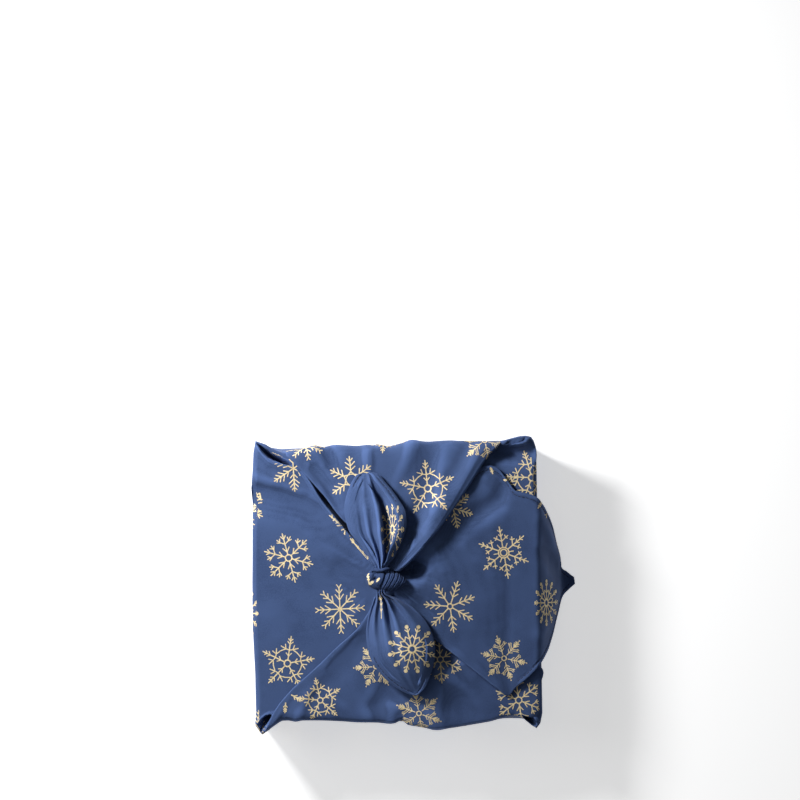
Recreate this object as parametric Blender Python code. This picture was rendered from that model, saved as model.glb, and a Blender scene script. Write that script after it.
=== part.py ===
"""A square cotton cloth wrapped round a flat gift box and tied in a knot, lying on its back.

The tables are in millimetres and the meshes in metres. +X is right, +Y is up the face and +Z is out
of the face. The origin is the middle of the underside.
"""

from collections import namedtuple

import bmesh
import bpy
import numpy as np

MM = 0.001

# Driving sizes
BOX_WIDTH = 252.0
BOX_LENGTH = 246.0
FACE_Z = 57.0  # top of the cloth layer that lies on the box
UNDER_ROUND = 3.0  # the cloth turns under the box on this radius
CLOTH = 2.4  # a folded edge of the cloth, as thick as it stands
SINK = 2.5  # how deep an upper layer reaches into the one below it
KNOT_X = -8.5
KNOT_Y = 5.5
KNOT_Z = FACE_Z + 15.0

NAVY = (0.055, 0.088, 0.185, 1.0)
ROUGHNESS = 0.85

# Mesh sizes
FACE_SPANS = 25  # on each side of the face
PANEL_COLUMNS = 20
FLAP_COLUMNS = 16
FOLD_COLUMNS = 5
SECTION_STEPS = 2  # rows of points from one cross section to the next
POCKET_STEPS = 3
GRADE = 0.075  # how much closer the columns lie near a layer's edges

# How a layer's height fades towards its two edges
ARCH_POWER = 0.7  # below 1, the arch is full in the middle and steep at the edges
FREE_SLOPE = 6.0  # the creases reach their full height at 1 / FREE_SLOPE of the half width
FREE_LEAST = 0.25  # the share of a crease's height that is left at the very edge
CORE_SLOPE = 1.7  # the filled core widens by this, and starts at CORE_START from the edge
CORE_START = 0.25
LEANS = 0.3  # a section leans over the edge of the box where the sine of its lean is above this
RIM_RELIEF = 0.8  # the share of a crease's height at the rim of the face

# A crease: points are (x, y, height), and left and right are its widths beside that line
Fold = namedtuple("Fold", "left right points")

# A cross section of a layer, from its left edge to its right edge. lean turns the outward side from
# +Z towards the layer's own axis, in degrees. arch is how far the middle stands proud, core how far
# it is filled down to the layer below, and rim its share of the uneven edge of the face.
Section = namedtuple(
    "Section",
    "left_x left_y left_z right_x right_y right_z lean thick arch core rim",
    defaults=(0.0, 0.0),
)

# The face's outline as it shows, a row for each bend: x, y
TOP_RIM = (
    (-127.0, 130.0), (-118.0, 127.0), (-107.0, 123.5), (-80.0, 124.0), (-72.0, 125.2), (-47.0, 125.2),
    (-25.0, 124.4), (-18.0, 126.8), (-7.0, 124.2), (8.0, 128.4), (18.0, 130.0), (55.0, 130.0),
    (75.0, 128.8), (94.0, 129.7), (103.0, 132.2), (110.0, 134.0), (116.0, 134.6), (121.0, 133.6),
)
BOTTOM_RIM = (
    (-121.0, -134.6), (-106.5, -124.4), (-69.0, -124.4), (-28.0, -126.0), (0.0, -126.0), (4.5, -124.0),
    (9.5, -127.5), (25.0, -130.5), (37.0, -131.6), (53.0, -129.0), (76.0, -125.0), (88.0, -124.4),
    (111.0, -121.5), (117.0, -126.0), (126.0, -128.7),
)
LEFT_RIM = (
    (-121.0, -134.6), (-127.3, -126.0), (-126.5, -112.0), (-127.3, -80.0), (-129.3, -40.0), (-129.8, 4.0),
    (-129.6, 50.0), (-129.2, 71.0), (-130.6, 88.0), (-129.3, 107.0), (-128.8, 119.0), (-127.0, 130.0),
)
RIGHT_RIM = (
    (126.0, -128.7), (129.5, -124.0), (131.3, -115.0), (130.6, -69.0), (128.5, 0.0), (126.6, 80.0),
    (126.2, 98.0), (125.2, 125.0), (123.6, 130.0), (121.0, 133.6),
)
# The straight line that the two panels' edges waver about
RIM_Y = 124.5
# Where a panel covers the rim, so that the cloth below lies one thickness further in: from, to
TOP_COVERED = (-104.0, 93.0)
BOTTOM_COVERED = (-114.0, 116.0)
COVER_FADE = 6.0

# The side walls between the underside and the face: height, share of the face's outline, inset
WALL_ROWS = (
    (0.0, 0.0, UNDER_ROUND),
    (UNDER_ROUND, 0.0, 0.0),
    (0.30 * FACE_Z, 0.12, -0.8),
    (0.60 * FACE_Z, 0.45, -0.6),
    (0.82 * FACE_Z, 0.85, 0.0),
    (FACE_Z - 3.6, 1.0, 0.0),
    (FACE_Z - 1.1, 1.0, 1.1),
)
RIM_INSET = 3.8

BASE_FOLDS = (
    Fold(7.0, 18.0, ((-131, 88, -4.6), (-105, 82, -4.4), (-84, 75, -4.0), (-66, 66, -2.4))),
    Fold(7.0, 9.0, ((-131, 98, 1.8), (-112, 92, 1.6), (-90, 84, 0.6))),
    Fold(6.0, 8.0, ((-127, 115, -1.2), (-110, 103, -1.6), (-88, 92, -0.5))),
    Fold(5.0, 9.0, ((-124, 126, 1.6), (-113, 112, 2.2), (-98, 104, 0.8))),
    Fold(12.0, 14.0, ((-48, 14, -1.8), (-24, -6, -2.4))),
    Fold(16.0, 16.0, ((-110, -30, 0.7), (-92, -62, 0.5))),
    Fold(5.0, 9.0, ((98, 131, 3.6), (112, 131, 4.6), (121, 129, 3.0))),
    Fold(8.0, 9.0, ((96, 118, -3.0), (118, 117, -3.6))),
)

# The upper panel, from the foot of the far side wall over the edge to the knot
TOP_PANEL = (
    Section(-124, 125.4, 3.0, 122, 125.4, 3.0, 90, 5.5, 0.4, rim=0.0),
    Section(-118, 125.8, 20, 113, 125.8, 20, 90, 5.5, 0.8, rim=0.18),
    Section(-109, 125.2, 38, 103, 125.2, 38, 90, 5.5, 0.6, rim=0.62),
    Section(-102, 124.6, 51, 96, 124.6, 51, 88, 5.5, 0.3, rim=0.97),
    Section(-100, 123.4, 57, 93.5, 123.4, 57.6, 62, 5.5, 0.2, rim=1.0),
    Section(-98.5, 119.8, 59.6, 91, 119.8, 61.4, 22, 8.0, 0.2, rim=1.0),
    Section(-93, 112, 60.2, 83, 114, 63.4, 0, 8.0, 0.4, rim=0.4),
    Section(-80, 97, 60.4, 71.5, 98, 65.2, 0, 10.0, 0.2),
    Section(-65, 80, 60.8, 60, 80, 67.4, 0, 11.5, 0.2),
    Section(-51.5, 62, 61.8, 47, 61, 69.6, 0, 14.0, 0.2),
    Section(-40, 45, 63.6, 33.5, 44, 71.8, 0, 16.0, 0.2),
    Section(-29, 28, 66.0, 17, 27, 73.6, 0, 18.0, 0.2),
    Section(-20, 14, 68.5, 2, 13, 74.0, 0, 18.0, 0.2),
)
TOP_FOLDS = (
    Fold(2.4, 9.0, ((-25, 178, 1.4), (-25, 126, 2.6), (-24, 112, 2.4), (-24, 101, 0.8))),
    Fold(6.0, 6.0, ((-66, 170, -1.0), (-65, 124, -2.2), (-58, 110, -2.4), (-52, 101, -0.6))),
    Fold(6.0, 5.0, ((-74, 104, -1.6), (-62, 89, -2.8), (-53, 73, -1.4))),
    Fold(9.0, 8.0, ((30, 180, -1.0), (33, 122, -2.4), (18, 82, -3.4), (12, 68, -3.4), (10, 52, -2.0))),
    Fold(6.0, 7.0, ((12, 178, 1.2), (14, 126, 1.9), (8, 112, 1.2), (-3, 90, 0.6))),
    Fold(6.0, 8.0, ((66, 176, -1.0), (63, 120, -2.2), (57, 105, -2.6), (47, 88, -2.4), (44, 80, -1.0))),
    Fold(12.0, 9.0, ((79, 126, 1.6), (61, 103, 3.0), (42, 77, 3.8), (21, 49, 3.4))),
    Fold(7.0, 6.0, ((-60, 60, 0.5), (-38, 34, 1.5), (-22, 20, 1.5))),
)

# The narrow fold that shows beside the upper panel's left edge
SIDE_FOLD = (
    Section(-91, 105, 57.6, -82, 106, 58.4, 0, 4.0, 0.3),
    Section(-82.5, 93, 58.8, -70, 96, 59.2, 0, 4.6, 0.6),
    Section(-72, 76, 59.4, -60, 80, 59.6, 0, 5.0, 0.9),
    Section(-61, 61.5, 60.0, -48, 66, 60.2, 0, 5.2, 1.0),
    Section(-48, 46, 61.0, -36, 50, 61.0, 0, 6.0, 1.0),
    Section(-33, 30, 62.8, -24, 33, 62.8, 0, 8.0, 0.8),
    Section(-21, 17.5, 65.0, -14, 19, 65.0, 0, 10.0, 0.5),
)

# The lower panel, from the foot of the near side wall over the edge to the knot
BOTTOM_PANEL = (
    Section(-123, -125.4, 3.0, 124, -125.4, 3.0, 90, 5.5, 0.4, rim=0.0),
    Section(-121, -125.8, 20, 122, -125.8, 20, 90, 5.5, 0.8, rim=0.18),
    Section(-119, -125.2, 38, 120, -125.2, 38, 90, 5.5, 0.6, rim=0.62),
    Section(-117, -124.6, 51, 118, -124.6, 51, 88, 5.5, 0.3, rim=0.97),
    Section(-116, -123.4, 57, 118, -123.4, 57.2, 62, 5.5, 0.2, rim=1.0),
    Section(-113.5, -119.8, 59.4, 119, -119.8, 58.8, 22, 5.5, 0.2, rim=1.0),
    Section(-106, -110, 59.8, 123.5, -108, 58.6, 0, 5.5, 0.6, rim=0.4),
    Section(-91.5, -91, 59.9, 124.5, -88, 58.6, 0, 5.5, 0.5),
    Section(-73, -74.5, 60.0, 124, -73, 58.8, 0, 5.5, 0.5),
    Section(-53.5, -55.5, 60.4, 95, -56, 60.0, 0, 6.0, 0.6),
    Section(-36.5, -40, 61.6, 52, -40, 61.0, 0, 7.5, 0.6),
    Section(-26, -25, 64.0, 24, -25, 63.0, 0, 10.0, 0.4),
    Section(-18, -9, 67.0, 2, -9, 67.0, 0, 13.0, 0.2),
)
BOTTOM_FOLDS = (
    Fold(7.0, 4.0, ((-113, -124, 1.4), (-94, -93, 1.8), (-64, -66, 1.6), (-36, -38, 2.0))),
    Fold(5.0, 9.0, ((-66, -78, 0.6), (-80, -98, 1.6), (-92, -126, 1.8), (-96, -160, 0.8))),
    Fold(10.0, 12.0, ((-30, -52, -1.6), (-58, -84, -1.4), (-82, -104, -0.6))),
    Fold(7.0, 7.0, ((-10, -92, -1.0), (-17, -108, -2.2), (-12, -126, -1.0))),
    Fold(7.0, 9.0, ((-2, -90, -1.6), (2, -100, -2.4), (8, -112, -1.4))),
    Fold(4.0, 7.0, ((4, -110, 1.0), (5, -124, -1.6), (5, -150, -1.4), (4, -178, -0.6))),
    Fold(9.0, 9.0, ((33, -92, 1.2), (34, -128, 1.6), (36, -172, 1.2))),
    Fold(10.0, 12.0, ((43, -89, -1.0), (54, -102, -1.5), (64, -114, -0.6))),
    Fold(10.0, 12.0, ((30, -60, 0.8), (62, -88, 1.4), (92, -112, 0.6))),
    Fold(7.0, 6.0, ((108, -118, -0.8), (110, -150, -1.0), (116, -176, -0.4))),
)

# The corner flap, from the knot over the right edge to its hanging tip
FLAP = (
    Section(-2, -8, 66.5, -2, 12, 66.5, 0, 15.0, 0.4, 1),
    Section(16, -34.5, 63.6, 16, 30, 64.4, 0, 15.0, 0.6, 1),
    Section(38, -51.5, 63.2, 38, 58, 62.2, 0, 14.0, 0.5, 1),
    Section(60, -69, 63.0, 60, 88, 60.6, 0, 12.0, 0.4, 1),
    Section(77, -82.5, 62.8, 76, 106, 60.2, 0, 9.0, 0.2, 1),
    Section(90, -92.5, 62.6, 90, 106, 60.0, 0, 6.0, 0, 1),
    Section(100, -99.5, 61.4, 100, 94.5, 60.0, 0, 6.0, 0, 1),
    Section(107, -92, 61.4, 107, 85.5, 60.0, 0, 6.0, 0, 1),
    Section(118, -83, 61.4, 118, 82.6, 60.0, 4, 6.0, 0, 1),
    Section(127, -73.5, 60.6, 126.5, 79, 59.4, 22, 5.0, 0.2, 0.5),
    Section(131.6, -67, 55.5, 130.5, 74.5, 55.5, 52, 3.2, 0.8),
    Section(136.5, -57.5, 44, 135.5, 66.5, 44.5, 66, CLOTH, 1.6),
    Section(141.5, -43, 31, 140.5, 54, 31, 68, CLOTH, 1.8),
    Section(146, -26, 18.5, 145, 35, 18.5, 68, CLOTH, 1.4),
    Section(150.5, -12, 7.6, 150, 17, 8.2, 50, CLOTH, 0.8),
    Section(156.5, -5.5, 3.8, 156.5, 12, 5.2, 10, CLOTH, 0.6),
    Section(161.7, -0.5, 3.6, 161.7, 7.5, 5.0, 6, CLOTH, 0.3),
)
FLAP_FOLDS = (
    Fold(7.0, 8.0, ((66, 99, -1.0), (69, 88, -1.6), (72, 78, -0.4))),
    Fold(7.0, 9.0, ((97, 90, -0.8), (92, 77, -1.6), (82, 70, -1.6), (66, 62, -1.4), (30, 36, -1.0))),
    Fold(5.0, 5.0, ((50, -61, 1.8), (72, -78, 2.2), (96, -97, 1.8))),
    Fold(8.0, 8.0, ((133, 62, 1.2), (160, 40, 2.4), (190, 22, 1.6))),
    Fold(8.0, 10.0, ((136, 30, -1.4), (160, 22, -2.4), (186, 12, -0.8))),
    Fold(8.0, 8.0, ((132, -44, 1.0), (156, -26, 1.8), (182, -8, 1.0))),
    Fold(12.0, 20.0, (
        (4, 18, 6.0), (12, 31, 7.0), (29, 48, 7.0), (42, 65, 5.5), (55, 84, 3.5), (67, 101, 1.0),
    )),
    Fold(6.0, 7.0, ((8, 14, -8.0), (16, 11, -6.0), (24, 8, -2.0))),
)

# A gather of a tail: share is where it lies between the tail's two edges, width is in the same share,
# and heights are its heights at the GATHER_STEPS of the way from the knot to the tip
Gather = namedtuple("Gather", "share width heights")
GATHER_STEPS = (0.0, 0.12, 0.25, 0.4, 0.6, 1.0)
EDGE_SHARE = 0.015  # the first column beside a tail's edge, which rounds it

UPPER_TAIL = (
    Section(-18.5, 11, 75.0, -8, 11, 76.0, 0, 8.0, 2.0, 1),
    Section(-20.6, 18, 73.0, -7, 18, 77.0, 0, 4.0, 3.0, 1),
    Section(-27.6, 25, 71.0, -1.4, 25, 77.0, 0, 3.0, 4.6, 1),
    Section(-35, 35, 69.4, 3.2, 35, 77.0, 0, CLOTH, 6.8, 1),
    Section(-42, 46, 67.8, 7.6, 46, 76.5, 0, CLOTH, 7.8, 1),
    Section(-46, 56, 66.6, 9.6, 56, 75.5, 0, CLOTH, 8.0, 1),
    Section(-48, 69, 65.4, 8.0, 68, 73.6, 0, CLOTH, 7.4, 1),
    Section(-46.5, 79, 64.8, 1.8, 78.5, 71.6, 0, CLOTH, 6.4, 1),
    Section(-43.5, 88, 64.6, -4.5, 87, 69.0, 0, CLOTH, 4.6, 0.8),
    Section(-40, 94.5, 64.6, -10.8, 94.5, 67.0, 0, CLOTH, 2.8, 0.3),
    Section(-36.6, 98.8, 64.8, -15.5, 99.6, 65.8, 0, CLOTH, 1.4, 0),
    Section(-34.5, 100.2, 64.6, -20, 101.6, 64.8, 0, CLOTH, 0.6, 0),
)
UPPER_GATHERS = (
    Gather(0.10, 0.06, (0.4, 0.6, 0.6, 0.4, 0.3, 0.0)),
    Gather(0.27, 0.05, (-1.4, -2.2, -2.6, -2.2, -0.6, 0.0)),
    Gather(0.35, 0.05, (0.8, 1.2, 1.4, 1.2, 0.4, 0.0)),
    Gather(0.43, 0.045, (-1.4, -2.4, -2.4, -1.4, -0.2, 0.0)),
    Gather(0.55, 0.05, (0.8, 1.8, 2.6, 2.8, 2.2, 0.2)),
    Gather(0.66, 0.06, (-1.5, -4.5, -6.0, -6.5, -5.5, -0.3)),
    Gather(0.86, 0.10, (0.6, 1.2, 1.6, 1.6, 1.2, 0.2)),
)

LOWER_TAIL = (
    Section(-9, 0, 74.0, -18, 0, 74.0, 0, 8.0, 2.0, 1),
    Section(-8, -7, 73.0, -18.6, -7, 72.0, 0, 4.0, 3.4, 1),
    Section(3, -12, 73.0, -20.5, -14, 70.4, 0, 3.0, 5.0, 1),
    Section(13, -18, 72.8, -24, -23, 68.8, 0, CLOTH, 6.6, 1),
    Section(22, -26, 72.4, -26.6, -32, 67.4, 0, CLOTH, 8.0, 1),
    Section(29.5, -36, 71.8, -27.8, -43, 66.0, 0, CLOTH, 8.4, 1),
    Section(34.2, -48, 70.8, -26.6, -56, 65.2, 0, CLOTH, 7.6, 1),
    Section(35.2, -62, 69.8, -22.5, -69, 64.6, 0, CLOTH, 6.0, 1),
    Section(33, -74, 68.6, -13.5, -81, 64.2, 0, CLOTH, 4.2, 0.8),
    Section(29.5, -84, 67.6, -2, -91, 64.0, 0, CLOTH, 2.4, 0.5),
    Section(25.5, -92, 66.4, 9, -97, 64.0, 0, CLOTH, 1.0, 0.2),
    Section(20.5, -97.5, 64.4, 15.5, -99, 64.0, 0, CLOTH, 0.2, 0),
)
LOWER_GATHERS = (
    Gather(0.05, 0.04, (-1.2, -1.4, -0.6, 0.0, 0.0, 0.0)),
    Gather(0.20, 0.08, (1.0, 2.0, 2.4, 1.2, 0.3, 0.0)),
    Gather(0.35, 0.07, (-2.0, -3.6, -3.0, -0.8, 0.0, 0.0)),
    Gather(0.49, 0.04, (1.0, 1.4, 1.6, 1.0, 0.2, 0.0)),
    Gather(0.58, 0.05, (-1.4, -2.4, -3.0, -2.6, -0.6, 0.0)),
    Gather(0.69, 0.05, (0.6, 1.2, 1.4, 1.2, 0.3, 0.0)),
    Gather(0.78, 0.045, (-1.0, -1.6, -1.8, -1.6, -0.4, 0.0)),
    Gather(0.87, 0.045, (0.6, 1.0, 1.2, 1.0, 0.3, 0.0)),
    Gather(0.94, 0.035, (-0.8, -1.2, -1.6, -1.4, -0.3, 0.0)),
)

# The knot's wound part, from its left end to its right end: along, up the face, half height and
# half depth of each ring, from the knot's middle
KNOT_RINGS = (
    (-15.4, 0.4, 3.0, 3.0), (-11.4, 0.5, 7.2, 6.8), (-6.4, 0.0, 9.2, 9.6), (-0.5, -1.0, 9.8, 11.0),
    (4.7, -2.3, 9.0, 11.0), (9.4, -4.2, 7.4, 9.4), (12.6, -4.8, 5.0, 6.6), (14.4, -4.6, 1.4, 2.2),
)
KNOT_SKEW = 0.42  # how far each ring slants to the right at its top, as a share of its half height
KNOT_BULGE = 2.4  # how far each ring bends to the right in front
KNOT_FAN = 0.22  # how much further apart the rings lie at the top than in front
# Its creases, which run down to the left: along, depth, width
KNOT_CREASES = ((-4.2, 1.7, 1.3), (-1.2, 0.6, 0.8), (1.9, 1.2, 1.0), (5.6, 0.6, 1.2), (8.6, 1.1, 0.9))
# The smooth loop at its left end, round the small pit: x, y, z from the knot's middle, and radius
KNOT_LOOP = (
    (4.0, 7.0, -3.0, 2.8), (-2.5, 7.6, 3.2, 3.3), (-8.5, 6.6, 4.8, 3.9), (-12.9, 4.2, 4.6, 4.4),
    (-14.0, -0.6, 4.0, 4.6), (-11.0, -4.4, 4.0, 4.7), (-5.6, -6.8, 2.4, 4.2), (-1.0, -6.6, -5.0, 3.0),
)

# Openings behind the folded corners: points are (x, y, half width), and depth is how deep they go
Pocket = namedtuple("Pocket", "name depth points")
POCKET_TOP = FACE_Z + 12.0
POCKET_FLOOR = 0.25  # how wide its floor is, as a share of its mouth
POCKETS = (
    Pocket("pocket_upper_left", 12.0, (
        (-125.5, 128.0, 0.7), (-118.5, 120.5, 2.6), (-110.0, 114.6, 3.0), (-101.0, 110.6, 2.3),
        (-95.0, 108.0, 0.8),
    )),
    Pocket("pocket_upper_right", 12.0, (
        (96.0, 129.3, 0.5), (103.0, 130.4, 1.8), (111.0, 131.4, 2.0), (118.5, 131.4, 0.7),
    )),
    Pocket("pocket_lower_left", 22.0, (
        (-125.5, -115.0, 1.0), (-122.5, -120.5, 3.0), (-120.5, -126.5, 2.2), (-119.5, -131.0, 0.8),
    )),
    Pocket("pocket_lower_right", 22.0, (
        (112.0, -121.6, 0.8), (118.0, -123.4, 2.0), (123.5, -124.6, 2.6), (127.0, -124.0, 1.0),
    )),
)


def clear_scene():
    for item in list(bpy.data.objects):
        bpy.data.objects.remove(item)


def fold_height(fold, x, y):
    """How far one crease lifts or sinks the cloth at x, y."""
    nearest = np.full(np.shape(x), np.inf)
    height = np.zeros(np.shape(x))
    for (x0, y0, h0), (x1, y1, h1) in zip(fold.points, fold.points[1:]):
        run_x, run_y = x1 - x0, y1 - y0
        share = ((x - x0) * run_x + (y - y0) * run_y) / (run_x**2 + run_y**2)
        share = np.clip(share, 0.0, 1.0)
        distance = np.hypot(x - x0 - share * run_x, y - y0 - share * run_y)
        on_left = run_x * (y - y0) - run_y * (x - x0) > 0
        width = np.where(on_left, fold.left, fold.right)
        lift = (h0 + share * (h1 - h0)) * np.exp(-((distance / width) ** 2))
        height = np.where(distance < nearest, lift, height)
        nearest = np.minimum(distance, nearest)
    return height


def relief(folds, x, y):
    return sum((fold_height(fold, x, y) for fold in folds), np.zeros(np.shape(x)))


def smooth_rows(rows, steps):
    """The rows with steps spans between each two, on a curve through them all."""
    table = np.array(rows, float)
    before = np.vstack([2 * table[0] - table[1], table[:-1]])[:-1]
    after = np.vstack([table[1:], 2 * table[-1] - table[-2]])[1:]
    shares = np.linspace(0.0, 1.0, steps, endpoint=False)
    made = []
    for p0, p1, p2, p3 in zip(before, table[:-1], table[1:], after):
        for t in shares:
            made.append(0.5 * (2 * p1 + (p2 - p0) * t + (2 * p0 - 5 * p1 + 4 * p2 - p3) * t**2
                               + (3 * p1 - p0 - 3 * p2 + p3) * t**3))
    made.append(table[-1])
    return np.array(made)


def graded(count):
    """Shares from 0 to 1 that lie closer together near both ends."""
    even = np.linspace(0.0, 1.0, count)
    return even - GRADE * np.sin(2 * np.pi * even)


def gather_lift(gathers, across, progress):
    """How far the gathers lift or sink a tail at these shares across it and along it."""
    lift = np.zeros(np.broadcast(across, progress).shape)
    for gather in gathers:
        height = np.interp(progress, GATHER_STEPS, gather.heights)
        lift += height * np.exp(-(((across - gather.share) / gather.width) ** 2))
    return lift


def gather_columns(gathers):
    """Shares across a tail on each gather's line, halfway between them, and at both edges."""
    lines = np.array([0.0] + [gather.share for gather in gathers] + [1.0])
    halfway = (lines[1:] + lines[:-1]) / 2
    return np.sort(np.concatenate([lines, halfway, (EDGE_SHARE, 1 - EDGE_SHARE)]))


def object_of(name, points, faces):
    mesh = bpy.data.meshes.new(name)
    mesh.from_pydata([tuple(point * MM) for point in points], [], faces)
    piece = bpy.data.objects.new(name, mesh)
    bpy.context.scene.collection.objects.link(piece)
    shape = bmesh.new()
    shape.from_mesh(mesh)
    bmesh.ops.triangulate(shape, faces=shape.faces)
    bmesh.ops.recalc_face_normals(shape, faces=shape.faces)
    shape.to_mesh(mesh)
    shape.free()
    return piece


def grid_faces(rows, columns, start, turned=False):
    """The four-sided faces of a grid of points that begins at index start."""
    faces = []
    for i in range(rows - 1):
        for j in range(columns - 1):
            corner = start + i * columns + j
            face = (corner, corner + 1, corner + columns + 1, corner + columns)
            faces.append(face[::-1] if turned else face)
    return faces


def closed_layer(name, outer, inner):
    """One closed solid between two grids of points."""
    rows, columns = outer.shape[:2]
    half = rows * columns
    points = np.vstack([outer.reshape(-1, 3), inner.reshape(-1, 3)])
    faces = grid_faces(rows, columns, 0) + grid_faces(rows, columns, half, turned=True)
    rim = list(range(columns))
    rim += [row * columns + columns - 1 for row in range(1, rows)]
    rim += [(rows - 1) * columns + column for column in range(columns - 2, -1, -1)]
    rim += [row * columns for row in range(rows - 2, 0, -1)]
    for a, b in zip(rim, rim[1:] + rim[:1]):
        faces.append((a, a + half, b + half, b))
    return object_of(name, points, faces)


def rim_shift(rim, x):
    """How far the uneven edge of the face lies from its straight line at x, along Y."""
    table = np.array(rim)
    return np.interp(x, table[:, 0], table[:, 1]) - RIM_Y * np.sign(table[0, 1])


def layer(name, sections, shares, axis, folds=(), gathers=(), rest_z=None, rim=None):
    """A folded layer of cloth through its cross sections. axis is where its sections lean to.

    Its inner side is plain where it is sunk in the layer below. With rest_z, it follows the outer
    side as a sheet does, and goes down to that height where the section's core says so.
    """
    rows = smooth_rows(sections, SECTION_STEPS)
    across = shares[None, :, None]
    progress = np.linspace(0.0, 1.0, len(rows))[:, None]
    left, right = rows[:, None, 0:3], rows[:, None, 3:6]
    lean = np.radians(rows[:, None, 6:7])
    outward = np.sin(lean) * np.array(axis) + np.cos(lean) * np.array((0.0, 0.0, 1.0))
    middle = np.sin(np.pi * across)
    plain = left + (right - left) * across
    if rim is not None:
        plain[..., 1] += rows[:, None, 10] * rim_shift(rim, plain[..., 0])
    outer = plain + outward * (rows[:, None, 8:9] * middle**ARCH_POWER)
    drop = np.clip(FACE_Z + CLOTH - outer[..., 2], 0.0, None)
    leaning = np.sin(lean[..., 0]) > LEANS
    flat_x = outer[..., 0] + axis[0] * np.where(leaning, drop, 0.0)
    flat_y = outer[..., 1] + axis[1] * np.where(leaning, drop, 0.0)
    edge_free = np.clip(middle[..., 0] * FREE_SLOPE, FREE_LEAST, 1.0)
    lift = relief(folds, flat_x, flat_y) * edge_free
    lift += gather_lift(gathers, shares[None, :], progress) * edge_free
    outer = outer + outward * lift[..., None]
    thick = rows[:, None, 7:8]
    if rest_z is None:
        inner = plain - outward * thick
    else:
        inner = outer - outward * thick
        filled = rows[:, None, 9] * np.clip(middle[..., 0] * CORE_SLOPE - CORE_START, 0.0, 1.0)
        inner[..., 2] = inner[..., 2] * (1 - filled) + rest_z * filled
    return closed_layer(name, outer, inner)


def side_points(table, shares, along):
    """Points on one side of the outline at these shares of its span along x (0) or y (1)."""
    rows = np.array(table, float)
    span = rows[0, along] + (rows[-1, along] - rows[0, along]) * shares
    other = np.interp(span, rows[:, along], rows[:, 1 - along])
    return np.stack([span, other] if along == 0 else [other, span], axis=1)


def covered(side, span):
    """The same points one thickness further in along Y, where a panel lies over them."""
    start, end = span
    x, y = side[:, 0], side[:, 1]
    share = np.clip((x - start) / COVER_FADE, 0, 1) * np.clip((end - x) / COVER_FADE, 0, 1)
    return np.stack([x, y - np.sign(y) * CLOTH * share], axis=1)


def outline_loop(sides):
    """The four sides as one loop, anticlockwise from the lower left corner."""
    bottom, right, top, left = sides
    return np.vstack([bottom[:-1], right[:-1], top[::-1][:-1], left[::-1][:-1]])


def inset_loop(loop, inset):
    """The loop drawn in towards its middle, by inset at its sides."""
    return loop * (1 - inset / np.array((BOX_WIDTH / 2, BOX_LENGTH / 2)))


def face_grid(loop, count):
    """A grid of points inside a loop that has count spans on each side."""
    bottom = loop[: count + 1]
    right = loop[count : 2 * count + 1]
    top = loop[2 * count : 3 * count + 1][::-1]
    left = np.vstack([loop[3 * count :], loop[:1]])[::-1]
    s = graded(count + 1)[None, :, None]
    t = graded(count + 1)[:, None, None]
    sides = (1 - t) * bottom[None] + t * top[None] + (1 - s) * left[:, None] + s * right[:, None]
    corners = (1 - s) * (1 - t) * bottom[0] + s * (1 - t) * bottom[-1]
    corners = corners + (1 - s) * t * top[0] + s * t * top[-1]
    return sides - corners


def make_base(count=FACE_SPANS):
    """The cloth that lies straight on the box: underside, walls and face as one closed solid."""
    shares = graded(count + 1)
    rims = ((BOTTOM_RIM, 0), (RIGHT_RIM, 1), (TOP_RIM, 0), (LEFT_RIM, 1))
    bottom, right, top, left = (side_points(rim, shares, along) for rim, along in rims)
    face_loop = outline_loop((covered(bottom, BOTTOM_COVERED), right, covered(top, TOP_COVERED), left))
    x, y = BOX_WIDTH / 2, BOX_LENGTH / 2
    plain = (((-x, -y), (x, -y)), ((x, -y), (x, y)), ((-x, y), (x, y)), ((-x, -y), (-x, y)))
    foot_sides = [side_points(ends, shares, along) for ends, (_, along) in zip(plain, rims)]
    foot_loop = outline_loop(foot_sides)
    rings = []
    for height, share, inset in WALL_ROWS:
        ring = inset_loop(foot_loop * (1 - share) + face_loop * share, inset)
        rings.append(np.column_stack([ring, np.full(len(ring), height)]))
    grid = face_grid(inset_loop(face_loop, RIM_INSET), count)
    raised = FACE_Z + relief(BASE_FOLDS, grid[..., 0], grid[..., 1])
    for ring in rings[-2:]:
        ring[:, 2] += RIM_RELIEF * relief(BASE_FOLDS, ring[:, 0], ring[:, 1])
    face = np.dstack([grid, raised])
    size = len(face_loop)
    points = np.vstack(rings + [face.reshape(-1, 3)])
    faces = [tuple(range(size - 1, -1, -1))]
    for row in range(len(rings) - 1):
        for i in range(size):
            a, b = row * size + i, row * size + (i + 1) % size
            faces.append((a, b, b + size, a + size))
    start = len(rings) * size
    faces += grid_faces(count + 1, count + 1, start)
    side = count + 1
    rim = list(range(side))
    rim += [row * side + count for row in range(1, side)]
    rim += [count * side + column for column in range(count - 1, -1, -1)]
    rim += [row * side for row in range(count - 1, 0, -1)]
    last = start - size
    for i in range(size):
        j = (i + 1) % size
        faces.append((last + i, last + j, start + rim[j], start + rim[i]))
    return object_of("wrap", points, faces)


def closed_tube(name, rings):
    """One closed solid through rings of equally many points, with pointed ends."""
    count = len(rings[0])
    points = np.vstack(rings + [rings[0].mean(axis=0)[None], rings[-1].mean(axis=0)[None]])
    faces = []
    for row in range(len(rings) - 1):
        for i in range(count):
            a, b = row * count + i, row * count + (i + 1) % count
            faces.append((a, b, b + count, a + count))
    first, last = len(points) - 2, len(points) - 1
    for i in range(count):
        j = (i + 1) % count
        faces.append((first, j, i))
        faces.append((last, (len(rings) - 1) * count + i, (len(rings) - 1) * count + j))
    return object_of(name, points, faces)


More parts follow.
